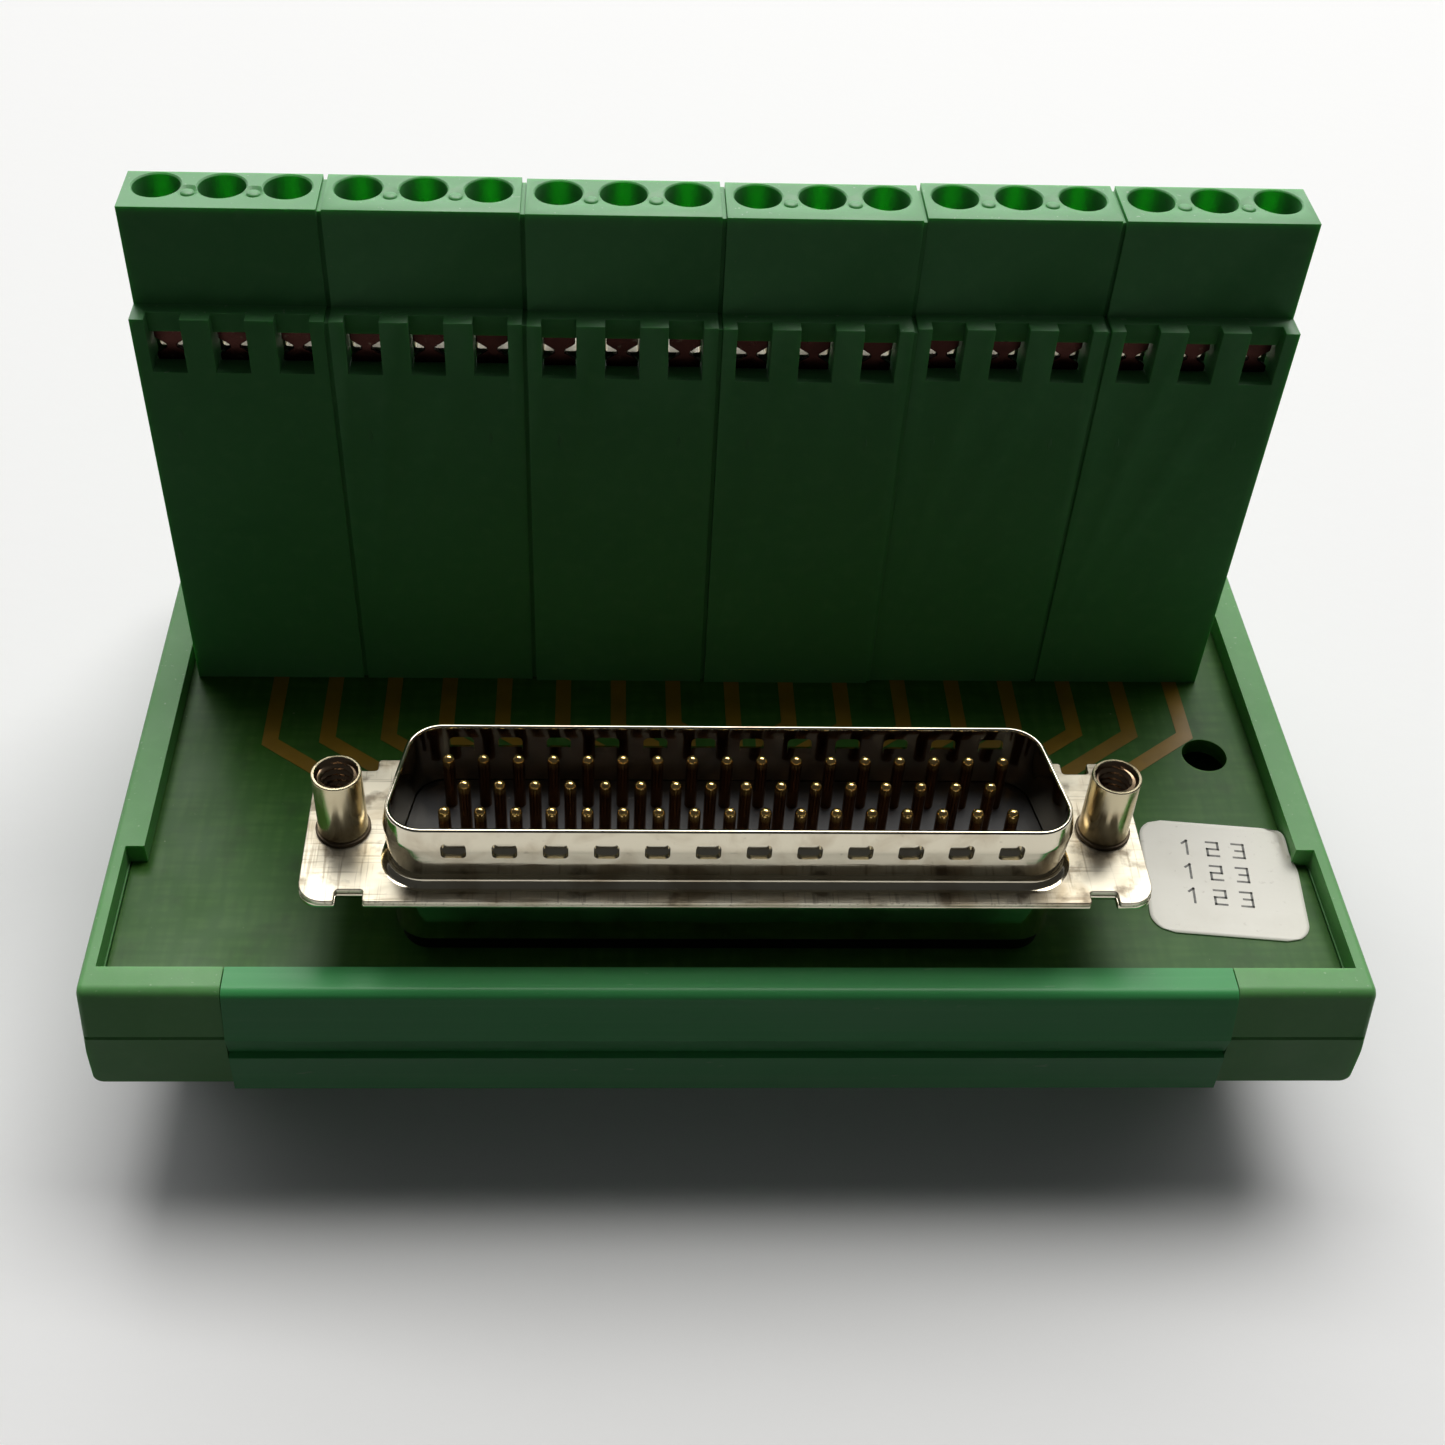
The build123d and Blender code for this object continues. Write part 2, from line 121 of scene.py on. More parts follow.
GAP_RIB_HEIGHT = 0.34
BLOCKS = range(1, 7)

# How far pieces that touch reach into each other, and how near points of a CAD node are merged
OVERLAP = 0.02
WELD_DISTANCE = 0.002


def box_mm(name):
    """Lowest and highest corner of a CAD node in millimetres."""
    low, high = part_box(name)
    return [v / MM for v in low], [v / MM for v in high]


BOARD_TOP = box_mm("circuit_board")[1][2]


# Materials

def srgb(red, green, blue):
    """Linear colour of a screen colour given in 0 to 255."""
    out = []
    for value in (red, green, blue):
        value /= 255
        out.append(value / 12.92 if value <= 0.04045 else ((value + 0.055) / 1.055) ** 2.4)
    return (*out, 1.0)


class Finish:
    """A material that is built up a layer at a time on the object's own coordinates."""

    def __init__(self, name, color, rough, metal=0.0):
        self.mat = bpy.data.materials.new(name)
        self.mat.use_nodes = True
        self.tree = self.mat.node_tree
        self.shader = self.tree.nodes["Principled BSDF"]
        self.shader.inputs["Metallic"].default_value = metal
        self.shader.inputs["Roughness"].default_value = rough
        self.shader.inputs["Base Color"].default_value = color
        self.color = color
        self.color_from = None
        self.normal = None
        self.places = self.tree.nodes.new("ShaderNodeTexCoord").outputs["Object"]

    def link(self, start, end):
        """Joins an output to an input."""
        self.tree.links.new(start, end)

    def stretch(self, scale):
        """Object coordinates in metres, scaled by three numbers."""
        node = self.tree.nodes.new("ShaderNodeMapping")
        node.inputs["Scale"].default_value = scale
        self.link(self.places, node.inputs["Vector"])
        return node.outputs["Vector"]

    def noise(self, scale, detail=3.0, stretch=(1, 1, 1), distortion=0.0):
        """Noise with scale in cells for each metre."""
        node = self.tree.nodes.new("ShaderNodeTexNoise")
        node.inputs["Scale"].default_value = 1.0
        node.inputs["Detail"].default_value = detail
        node.inputs["Distortion"].default_value = distortion
        self.link(self.stretch([scale * v for v in stretch]), node.inputs["Vector"])
        return node.outputs["Fac"]

    def cells(self, scale, stretch=(1, 1, 1)):
        """Distance to the middle of cells, with scale in cells for each metre."""
        node = self.tree.nodes.new("ShaderNodeTexVoronoi")
        node.inputs["Scale"].default_value = 1.0
        self.link(self.stretch([scale * v for v in stretch]), node.inputs["Vector"])
        return node.outputs["Distance"]

    def levels(self, value, low, high, start=0.0, end=1.0):
        """A value's span from low to high, spread from start to end."""
        node = self.tree.nodes.new("ShaderNodeMapRange")
        for key, number in (("From Min", low), ("From Max", high), ("To Min", start), ("To Max", end)):
            node.inputs[key].default_value = number
        self.link(value, node.inputs["Value"])
        return node.outputs["Result"]

    def along(self, axis):
        """The object coordinate on one axis, in metres."""
        node = self.tree.nodes.new("ShaderNodeSeparateXYZ")
        self.link(self.places, node.inputs["Vector"])
        return node.outputs[axis]

    def facing(self, axis):
        """The surface normal on one axis, from minus one to one."""
        node = self.tree.nodes.new("ShaderNodeSeparateXYZ")
        self.link(self.tree.nodes.new("ShaderNodeNewGeometry").outputs["Normal"], node.inputs["Vector"])
        return node.outputs[axis]

    def times(self, first, second):
        """The product of two values."""
        node = self.tree.nodes.new("ShaderNodeMath")
        node.operation = "MULTIPLY"
        self.link(first, node.inputs[0])
        self.link(second, node.inputs[1])
        return node.outputs[0]

    def tint(self, color, factor):
        """Mixes a colour over what is there, by a factor."""
        node = self.tree.nodes.new("ShaderNodeMix")
        node.data_type = "RGBA"
        self.link(factor, node.inputs["Factor"])
        under, over = [socket for socket in node.inputs if socket.type == "RGBA"]
        over.default_value = color
        if self.color_from is None:
            under.default_value = self.color
        else:
            self.link(self.color_from, under)
        self.color_from = [socket for socket in node.outputs if socket.type == "RGBA"][0]
        self.link(self.color_from, self.shader.inputs["Base Color"])

    def patches(self, color, value, low, high, amount):
        """Mixes a colour in up to an amount, where a value rises from low to high."""
        self.tint(color, self.levels(value, low, high, 0, amount))

    def roughen(self, value, low, high):
        """Roughness from a value's nought and one."""
        self.link(self.levels(value, 0.3, 0.7, low, high), self.shader.inputs["Roughness"])

    def bump(self, value, height):
        """Relief of that height in metres between a value's nought and one."""
        node = self.tree.nodes.new("ShaderNodeBump")
        node.inputs["Distance"].default_value = height
        node.inputs["Strength"].default_value = 1.0
        self.link(value, node.inputs["Height"])
        if self.normal is not None:
            self.link(self.normal, node.inputs["Normal"])
        self.normal = node.outputs["Normal"]
        self.link(self.normal, self.shader.inputs["Normal"])

    def sheen_on_top(self, side, top):
        """Specular level of upright faces and of faces that look up."""
        level = self.levels(self.facing("Z"), 0.15, 0.75, side, top)
        self.link(level, self.shader.inputs["Specular IOR Level"])

    def set(self, socket, value):
        """Sets one input of the shader."""
        self.shader.inputs[socket].default_value = value

    def glow_through(self, weight, radius, scale):
        """Light that spreads under the surface."""
        self.set("Subsurface Weight", weight)
        self.set("Subsurface Radius", radius)
        self.set("Subsurface Scale", scale)


def moulded(name, color, light, dark, side_sheen=0.08, top_sheen=0.8):
    """Moulded green plastic: soft cloudy colour, fine eroded texture, and dust on what looks up."""
    m = Finish(name, color, 0.46)
    m.patches(dark, m.noise(90, 4, distortion=0.4), 0.42, 0.8, 0.4)
    m.patches(light, m.noise(700, 3), 0.5, 0.85, 0.3)
    dust = m.levels(m.noise(2600, 1), 0.72, 0.8, 0, 0.35)
    m.tint(srgb(205, 214, 196), m.times(dust, m.levels(m.facing("Z"), 0.2, 0.9)))
    m.roughen(m.noise(160, 4), 0.4, 0.54)
    m.bump(m.noise(5200, 2), 0.000006)
    m.sheen_on_top(side_sheen, top_sheen)
    m.glow_through(0.35, (0.25, 1.0, 0.2), 0.0016)
    return m.mat


def extruded(name, color, light, dark):
    """Extruded green plastic: die lines along X, a soft sheen and pale scuffs."""
    m = Finish(name, color, 0.34)
    lines = m.noise(60, 4, stretch=(0.15, 38, 38))
    m.patches(light, lines, 0.5, 0.75, 0.35)
    m.patches(dark, m.noise(45, 4), 0.45, 0.85, 0.45)
    m.patches(srgb(190, 208, 190), m.noise(420, 5, stretch=(1, 5, 5)), 0.7, 0.78, 0.22)
    m.roughen(m.noise(120, 4, stretch=(0.3, 3, 3)), 0.28, 0.42)
    m.bump(lines, 0.000012)
    m.bump(m.noise(4200, 2), 0.000003)
    m.sheen_on_top(0.2, 0.3)
    m.glow_through(0.2, (0.3, 1.0, 0.35), 0.001)
    return m.mat


def plated(name, color, stain, rough, stain_amount=0.5, grain=(1, 1, 1)):
    """Plated sheet or turned metal: spangle, brown stain, fine scratches and dull spots."""
    m = Finish(name, color, rough, metal=1.0)
    m.patches(stain, m.noise(260, 5, distortion=0.6), 0.5, 0.78, stain_amount)
    m.patches(srgb(120, 112, 96), m.noise(1500, 3), 0.66, 0.78, 0.4)
    m.roughen(m.noise(420, 5), rough * 0.75, rough * 1.6)
    m.bump(m.noise(1800, 4, stretch=grain), 0.000006)
    m.bump(m.cells(520), 0.000004)
    return m.mat


def scratched_flange():
    """Dull tinned sheet with fine scratches both ways and grey smudges."""
    m = Finish("tinned_flange", srgb(212, 205, 186), 0.4, metal=1.0)
    m.patches(srgb(164, 146, 116), m.noise(260, 5, distortion=0.6), 0.46, 0.7, 0.7)
    m.patches(srgb(92, 80, 64), m.noise(520, 5), 0.56, 0.7, 0.7)
    for stretch in ((0.06, 1.4, 1), (1.4, 0.06, 1)):
        m.patches(srgb(110, 96, 76), m.noise(2600, 2, stretch=stretch), 0.58, 0.68, 0.45)
    m.roughen(m.noise(420, 5), 0.3, 0.5)
    m.bump(m.noise(2600, 3, stretch=(0.06, 1.4, 1)), 0.000005)
    m.bump(m.noise(1500, 4), 0.000006)
    return m.mat


def laminate(name):
    """Lacquered board: green mask with the glass weave showing through, dust and light scratches."""
    m = Finish(name, srgb(50, 96, 32), 0.36)
    m.patches(srgb(64, 110, 40), m.noise(48, 4, distortion=0.5), 0.45, 0.75, 0.6)
    weave_x = m.noise(1300, 1, stretch=(1, 0.12, 1))
    weave_y = m.noise(1300, 1, stretch=(0.12, 1, 1))
    m.patches(srgb(84, 124, 58), m.times(weave_x, weave_y), 0.2, 0.42, 0.35)
    m.patches(srgb(36, 52, 26), m.noise(300, 5), 0.55, 0.85, 0.5)
    m.patches(srgb(196, 200, 176), m.noise(1900, 2), 0.75, 0.8, 0.4)
    m.roughen(m.noise(220, 4), 0.3, 0.44)
    m.bump(weave_x, 0.000008)
    m.bump(weave_y, 0.000008)
    m.set("Specular IOR Level", 0.26)
    m.glow_through(0.25, (0.6, 1.0, 0.12), 0.0015)
    return m.mat


GREEN_BLOCK = moulded("green_housing", srgb(90, 158, 96), srgb(108, 174, 112), srgb(76, 142, 84))
GREEN_SIDE = moulded("green_side", srgb(98, 160, 92), srgb(116, 176, 108), srgb(82, 144, 78), 0.22, 0.5)
GREEN_PROFILE = extruded("green_profile", srgb(72, 162, 94), srgb(90, 176, 108), srgb(58, 144, 80))
BOARD = laminate("board_laminate")
TINNED = plated("tinned_shell", srgb(222, 214, 192), srgb(150, 126, 92), 0.09, 0.6, grain=(0.1, 1, 1))
TINNED_FLAT = scratched_flange()
POST = plated("post_plating", srgb(204, 192, 160), srgb(150, 112, 60), 0.17, 0.7, grain=(1, 1, 0.1))
# Darker plating for the inside of the jack posts' bores: painted shade in the holes.
BORE_PAINTED_SHADE = plated("post_bore_painted_shade", srgb(150, 128, 104), srgb(70, 46, 32), 0.2, 0.7)
CAGE = plated("cage_plating", srgb(214, 208, 190), srgb(150, 136, 110), 0.32)
SCREW = plated("screw_steel", srgb(206, 204, 196), srgb(140, 132, 116), 0.3)
# The strips' copper is painted far darker than copper: painted shade for the windows the strips sit in.
COPPER_PAINTED_SHADE = plated("strip_copper", srgb(54, 31, 27), srgb(26, 15, 13), 0.26, 0.8)
WASHER = plated("washer_steel", srgb(104, 92, 76), srgb(48, 38, 30), 0.45)


def black_plastic():
    """Black moulding with grey clouds and dust."""
    m = Finish("black_insulator", srgb(24, 24, 25), 0.45)
    m.patches(srgb(46, 46, 48), m.noise(240, 4), 0.5, 0.8, 0.6)
    m.patches(srgb(120, 116, 108), m.noise(2300, 2), 0.7, 0.78, 0.3)
    m.roughen(m.noise(300, 4), 0.36, 0.55)
    m.bump(m.noise(4600, 2), 0.000006)
    return m.mat


def paper():
    """Aged label paper with faint stains and a soft wave."""
    m = Finish("label_paper", srgb(250, 247, 236), 0.62)
    m.patches(srgb(214, 208, 192), m.noise(130, 5), 0.48, 0.8, 0.5)
    m.patches(srgb(168, 158, 138), m.noise(1500, 3), 0.66, 0.78, 0.3)
    m.bump(m.noise(3200, 3), 0.000008)
    m.bump(m.noise(160, 2), 0.00003)
    return m.mat


def copper_under_mask():
    """Copper tracks under the green lacquer, which look brown."""
    m = Finish("track_copper", srgb(136, 104, 24), 0.36)
    m.patches(srgb(156, 120, 34), m.noise(420, 4), 0.45, 0.75, 0.6)
    m.patches(srgb(84, 76, 22), m.noise(150, 4), 0.5, 0.8, 0.5)
    m.roughen(m.noise(300, 4), 0.3, 0.44)
    m.bump(m.noise(1600, 3), 0.000006)
    return m.mat


def ink():
    """Worn grey ink."""
    m = Finish("label_ink", srgb(112, 112, 108), 0.6)
    m.patches(srgb(160, 158, 150), m.noise(2200, 3), 0.45, 0.7, 0.8)
    m.bump(m.noise(3000, 2), 0.000003)
    return m.mat


def gold_with_painted_shade(name):
    """Gold contacts with painted shade: a brown tint over the shafts from just below the bright tips."""
    m = Finish(name, srgb(240, 204, 132), 0.16, metal=1.0)
    tip = box_mm("front_row_contacts")[1][2]
    # Painted shade: the shafts below the tips are tinted brown.
    m.tint(srgb(116, 66, 40), m.levels(m.along("Z"), (tip - 1.1) * MM, (tip - 0.5) * MM, 0.9, 0))
    m.patches(srgb(60, 34, 24), m.noise(520, 4, stretch=(1, 1, 0.3)), 0.5, 0.75, 0.6)
    m.roughen(m.noise(420, 4), 0.12, 0.26)
    m.bump(m.noise(2400, 3, stretch=(1, 1, 0.1)), 0.000004)
    return m.mat


GOLD_PAINTED_SHADE = gold_with_painted_shade("contact_plating")
BLACK = black_plastic()
PAPER = paper()
TRACK = copper_under_mask()
INK = ink()


# Mesh helpers: points are given in millimetres of the row frame

def add_object(name, data):
    """A new object in the scene."""
    obj = bpy.data.objects.new(name, data)
    bpy.context.scene.collection.objects.link(obj)
    return obj


def mesh_from(bm, name):
    """A mesh in metres from a bmesh in millimetres, with its faces turned outwards."""
    bmesh.ops.scale(bm, vec=(MM, MM, MM), verts=bm.verts)
    bmesh.ops.recalc_face_normals(bm, faces=bm.faces)
    mesh = bpy.data.meshes.new(name)
    bm.to_mesh(mesh)
    bm.free()
    return mesh


def final_mesh(obj):
    """A new mesh from a curve, or from a mesh and its modifiers."""
    graph = bpy.context.evaluated_depsgraph_get()
    return bpy.data.meshes.new_from_object(obj.evaluated_get(graph))


def mesh_object(name, bm, material, smooth_angle=35):
    """A new piece from a bmesh in millimetres, with its material and its place in the frame."""
    mesh = mesh_from(bm, name)
    mesh.materials.append(material)
    obj = add_object(name, mesh)
    finish_object(obj, smooth_angle)
    return obj


def finish_object(obj, smooth_angle=35):
    """Smooth shading up to an angle, and what the frame has to know of a piece."""
    obj.data.shade_smooth()
    obj.data.set_sharp_from_angle(angle=math.radians(smooth_angle))
    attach(obj, "root")


def bake_modifiers(obj):
    """Puts the result of the modifiers into the mesh."""
    mesh = final_mesh(obj)
    old = obj.data
    obj.modifiers.clear()
    obj.data = mesh
    bpy.data.meshes.remove(old)


def add_bevel(obj, width, segments=2, angle=40, weld=False):
    """Rounds the edges of a piece or of a CAD node, in millimetres."""
    if weld:
        merge = obj.modifiers.new("weld", "WELD")
        merge.merge_threshold = WELD_DISTANCE * MM
    bevel = obj.modifiers.new("edges", "BEVEL")
    bevel.width = width * MM
    bevel.segments = segments
    bevel.limit_method = "ANGLE"
    bevel.angle_limit = math.radians(angle)
    bevel.harden_normals = not weld


def dress(name, material, bevel, segments=2, angle=40):
    """Gives a CAD node its material and rounds its edges with modifiers."""
    obj = nodes[name]
    obj.data.materials.clear()
    obj.data.materials.append(material)
    add_bevel(obj, bevel, segments, angle, weld=True)
    obj.modifiers.new("normals", "WEIGHTED_NORMAL")


def prism(bm, points, place):
    """A closed prism: points in a plane, and place(u, v, side) gives each corner for both sides."""
    ends = []
    for side in (0, 1):
        ends.append([bm.verts.new(place(u, v, side)) for u, v in points])
    bm.faces.new(ends[0])
    bm.faces.new(list(reversed(ends[1])))
    count = len(points)
    for i in range(count):
        j = (i + 1) % count
        bm.faces.new((ends[0][i], ends[1][i], ends[1][j], ends[0][j]))


def box(bm, low, high):
    """A closed box from its lowest to its highest corner."""
    corners = [(low[0], low[1]), (high[0], low[1]), (high[0], high[1]), (low[0], high[1])]
    prism(bm, corners, lambda x, y, side: (x, y, high[2] if side else low[2]))


def circle(radius, count):
    """Points round a circle in the plane."""
    turns = [2 * math.pi * i / count for i in range(count)]
    return [(radius * math.cos(turn), radius * math.sin(turn)) for turn in turns]


def turned(bm, outline, center, count=32):
    """A surface turned about a vertical axis from (radius, height) points. Radius nought closes it."""
    rings = []
    for radius, height in outline:
        if radius < 1e-6:
            rings.append([bm.verts.new((center[0], center[1], height))])
        else:
            loop = circle(radius, count)
            rings.append([bm.verts.new((center[0] + x, center[1] + y, height)) for x, y in loop])
    for lower, upper in zip(rings, rings[1:]):
        for i in range(count):
            j = (i + 1) % count
            corners = [lower[i % len(lower)], lower[j % len(lower)]]
            corners += [upper[j % len(upper)], upper[i % len(upper)]]
            unique = list(dict.fromkeys(corners))
            if len(unique) > 2:
                bm.faces.new(unique)


def join_rings(bm, pairs):
    """Faces between pairs of rings that have the same number of points."""
    for a, b in pairs:
        for i in range(len(a)):
            j = (i + 1) % len(a)
            bm.faces.new((a[i], a[j], b[j], b[i]))


def arc(center, radius, start, end, count):
    """Points on an arc, with angles in degrees."""
    turns = [math.radians(start + (end - start) * i / count) for i in range(count + 1)]
    return [(center[0] + radius * math.cos(turn), center[1] + radius * math.sin(turn)) for turn in turns]


def rounded(corners, radius, count=8):
    """A closed outline with each corner rounded, for corners in turn round the outline."""
    points = []
    total = len(corners)
    radii = radius if isinstance(radius, (list, tuple)) else [radius] * total
    for i in range(total):
        here = Vector(corners[i])
        before = (Vector(corners[i - 1]) - here).normalized()
        after = (Vector(corners[(i + 1) % total]) - here).normalized()
        half = before.angle(after) / 2
        reach = radii[i] / math.tan(half)
        middle = here + (before + after).normalized() * (radii[i] / math.sin(half))
        first = here + before * reach - middle
        last = here + after * reach - middle
        sweep = first.angle_signed(last)
        for step in range(count + 1):
            turn = Matrix.Rotation(-sweep * step / count, 2)
            points.append(tuple(middle + turn @ first))
    return points


def cut(obj, cutter_bm, name):
    """Cuts a closed mesh in millimetres out of an object and keeps the result in its mesh."""
    mesh = mesh_from(cutter_bm, name)
    cutter = add_object(name, mesh)
    boolean = obj.modifiers.new("cut", "BOOLEAN")
    boolean.operation = "DIFFERENCE"
    boolean.solver = "EXACT"
    boolean.use_self = True
    boolean.object = cutter
    bake_modifiers(obj)
    bpy.data.objects.remove(cutter)
    bpy.data.meshes.remove(mesh)


def flat_plate(name, outer, holes, span, material, bevel):
    """A plate between two heights from an outer outline and holes, with rounded edges."""
    low, high = span
    curve = bpy.data.curves.new(name, "CURVE")
    curve.dimensions = "2D"
    curve.fill_mode = "BOTH"
    curve.extrude = ((high - low) / 2 - bevel) * MM
    curve.bevel_depth = bevel * MM
    curve.bevel_resolution = 2
    curve.offset = -bevel * MM
    for loop in [outer] + holes:
        spline = curve.splines.new("POLY")
        spline.points.add(len(loop) - 1)
        for point, (x, y) in zip(spline.points, loop):
            point.co = (x * MM, y * MM, 0, 1)
        spline.use_cyclic_u = True
    carrier = add_object(name + "_outline", curve)
    mesh = final_mesh(carrier)
    bpy.data.objects.remove(carrier)
    bpy.data.curves.remove(curve)
    mesh.name = name
    mesh.transform(Matrix.Translation((0, 0, (low + high) / 2 * MM)))
    mesh.materials.clear()
    mesh.materials.append(material)
    finish_object(add_object(name, mesh))


# Base, board and hidden metal: CAD nodes with better surfaces
dress("base_profile", GREEN_PROFILE, bevel=0.22, segments=3, angle=20)
for side in ("left", "right"):
    dress(f"side_element_{side}", GREEN_SIDE, bevel=0.28, segments=3, angle=20)
    dress(f"rail_foot_{side}", GREEN_SIDE, bevel=0.3)
dress("circuit_board", BOARD, bevel=0.06)
dress("connector_insulator", BLACK, bevel=0.12)
dress("connector_rear_shell", TINNED, bevel=0.08)
dress("post_nuts", POST, bevel=0.15)
dress("post_lock_washers", WASHER, bevel=0.06)


# Terminal housings

def stair_outline(inset=0.0):
    """The stair seen from its side, or a smaller one inside it."""
    ledge = LEDGE_HEIGHT - inset
    step = LEDGE_DEPTH + inset
    points = [(inset, 0), (inset, ledge), (step, ledge), (step, BLOCK_HEIGHT - inset)]
    for tier in range(TIERS):
        tread = BLOCK_HEIGHT - tier * TIER_RISE - inset
        shift = tier * TIER_RUN - inset
        points += [
            (TOWER_BACK + shift, tread),
            (TOWER_BACK + shift, tread - SHOULDER_TOP),
            (TIER_BACK + shift, tread - SHOULDER_TOP - SHOULDER_DROP),
        ]
        if tier < TIERS - 1:
            points.append((TIER_BACK + shift, tread - TIER_RISE))
    points.append((TIER_BACK + (TIERS - 1) * TIER_RUN - inset, 0))
    return points


def funnel(cutter, x, shift, drop):
    """The wire's way into one pocket, wider towards the outside."""
    half_x, half_z = FUNNEL_HALF
    middle = FUNNEL_MIDDLE - drop
    flare = (TIER_BACK - POCKET_BACK + FUNNEL_PAST) * FUNNEL_SLOPE
    inner, outer = POCKET_BACK - FUNNEL_PAST + shift, TIER_BACK + FUNNEL_PAST + shift
    prism(
        cutter,
        [(-half_x, -half_z), (half_x, -half_z), (half_x, half_z), (-half_x, half_z)],
        lambda u, v, end: (
            x + u * (1 + flare / half_x * end),
            outer if end else inner,
            middle + v * (1 + flare / half_z * end),
        ),
    )


def clamp_space(cutter, x, shift, drop):
    """The well, pocket and funnel of one clamp."""
    top, floor = BLOCK_HEIGHT - drop, POCKET_TOP - CUT_PAST - drop
    spread, chamfer = WELL_CHAMFER
    well = [(0, floor), (WELL_RADIUS, floor), (WELL_RADIUS, top - chamfer), (WELL_RADIUS + spread, top)]
    well += [(WELL_RADIUS + spread, top + CUT_PAST), (0, top + CUT_PAST)]
    turned(cutter, well, (x, WELL_Y + shift), count=40)
    low = (x - POCKET_HALF, POCKET_FRONT + shift, POCKET_FLOOR - drop)
    box(cutter, low, (x + POCKET_HALF, POCKET_BACK + shift, POCKET_TOP - drop))
    funnel(cutter, x, shift, drop)


def window(cutter, x):
    """A notch in the ledge, and the window behind it into the top tier's pocket."""
    left, right = x - NOTCH_WIDTH / 2, x + NOTCH_WIDTH / 2
    box(cutter, (left, -CUT_PAST, SILL), (right, NOTCH_DEPTH, LEDGE_HEIGHT + CUT_PAST))
    box(cutter, (left, WINDOW_FRONT, SILL), (right, WINDOW_BACK, WINDOW_TOP))


def housing_mesh(width):
    """One block about its own origin: a stair with wells, pockets, funnels, notches and windows."""
    bm = bmesh.new()
    prism(bm, stair_outline(), lambda y, z, side: (width / 2 if side else -width / 2, y, z))
    block = mesh_object("housing_pattern", bm, GREEN_BLOCK)
    cutter = bmesh.new()
    for tier in range(TIERS):
        for x in POLES:
            clamp_space(cutter, x, tier * TIER_RUN, tier * TIER_RISE)
    for x in NUBS:
        dish = [(radius, BLOCK_HEIGHT + z) for radius, z in NUB_DISH]
        turned(cutter, dish, (x, NUB_Y), count=24)
    for x in POLES:
        window(cutter, x)
    cut(block, cutter, "housing_cutter")
    add_bevel(block, width=0.24, segments=3, angle=38)
    bake_modifiers(block)
    return block


def gap_rib(bm, low, high):
    """A thin rib on the side that closes the gap to the next block behind its front edges."""
    start, end = high[0] - GAP_RIB_ROOT, high[0] + GAP_RIB_HEIGHT
    outline = stair_outline(GAP_RIB_INSET)
    prism(bm, outline, lambda y, z, side: (end if side else start, low[1] + y, BOARD_TOP + z))


def diamond(bm, x, front, height):
    """A small raised diamond on the plain wall, narrower at its face."""
    half_x, half_z = DIAMOND_HALF
    points = [(-half_x, 0), (0, -half_z), (half_x, 0), (0, half_z)]
    face, root = front - OVERLAP, front + DIAMOND_ROOT
    prism(bm, points, lambda u, v, end: (x + u * (1 - 0.5 * end), face if end else root, height + v))


def housing_trim(bm, low, high):
    """Small moulded marks: nubs in shallow dishes on the top and diamonds on the plain wall."""
    x_mid, front = (low[0] + high[0]) / 2, low[1]
    for x in NUBS:
        outline = [(radius, high[2] + z) for radius, z in NUB_SECTION]
        turned(bm, outline, (x_mid + x, front + NUB_Y), count=20)
    for x in DIAMONDS:
        diamond(bm, x_mid + x, front, BOARD_TOP + DIAMOND_HEIGHT)


first_low, first_high = box_mm("terminal_housing_1")
pattern = housing_mesh(first_high[0] - first_low[0])
blocks = {1: pattern}
for number in BLOCKS[1:]:
    blocks[number] = add_object("housing", pattern.data.copy())
for number, block in blocks.items():
    low, high = box_mm(f"terminal_housing_{number}")
    block.name = block.data.name = f"housing_{number}"
    block.data.transform(Matrix.Translation(((low[0] + high[0]) / 2 * MM, low[1] * MM, BOARD_TOP * MM)))
    if block is not pattern:
        finish_object(block)
    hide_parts(f"terminal_housing_{number}")
    trim = bmesh.new()
    housing_trim(trim, low, high)
    if number != BLOCKS[-1]:
        gap_rib(trim, low, high)
    mesh_object(f"housing_marks_{number}", trim, GREEN_BLOCK)


# Clamps in the housings: WAIST counts from the sill, and HEAD_SECTION from the underside of the head
CAGE_WIDTH = 4.1
CAGE_HEIGHT = 5.85
CAGE_WALL = 0.7
CAGE_FOLD = (0.9, 0.3)
CAGE_FRONT = 3.7
CAGE_BACK = 8.5
STRIP_HALF = 1.28
STRIP_THICK = 0.5
STRIP_CLEARANCE = 0.1
TOP_LEG_FRONT = 1.9
LOWER_LEG_FRONT = 3.0
BAR_HALF = 0.9
BAR_THICK = 0.8
BAR_END = 8.4
WAIST = [(STRIP_HALF, 2.05), (1.0, 1.85), (0.42, 1.45), (0.42, 1.2), (0.95, 0.85), (STRIP_HALF, 0.6)]
SHANK_LENGTH = 3.0
SHANK_RADIUS = 1.15
SHANK_TIP = 0.95
THREAD_SPAN = (2.7, 0.3)
THREAD_CREST = 1.18
THREAD_ROOT = 0.98
THREAD_FALL = 0.12
THREAD_PITCH = 0.25
HEAD_SECTION = [(1.62, 0), (1.74, 0.15), (1.74, 2.3), (1.6, 2.52), (0, 2.55)]
SCREW_SMOOTH = 28
SCREW_SLOT_REACH = 2.0
SCREW_SLOT_HALF = 0.3
SCREW_SLOT_FLOOR = 1.6


def rounded_rectangle(width, height, radius, count=4):
    """The outline of a rectangle about nought with round corners."""
    w, h = width / 2, height / 2
    return rounded([(-w, -h), (w, -h), (w, h), (-w, h)], radius, count)


def sleeve(bm, center, width, height, wall, front, back):
    """A folded sleeve along Y, open at both ends, with its corners rounded by shares of the wall."""
    outer = rounded_rectangle(width, height, wall * CAGE_FOLD[0])
    inner = rounded_rectangle(width - 2 * wall, height - 2 * wall, wall * CAGE_FOLD[1])
    rings = []
    for loop, y in ((outer, front), (outer, back), (inner, back), (inner, front)):
        rings.append([bm.verts.new((center[0] + u, y, center[1] + v)) for u, v in loop])
    join_rings(bm, zip(rings, rings[1:] + rings[:1]))


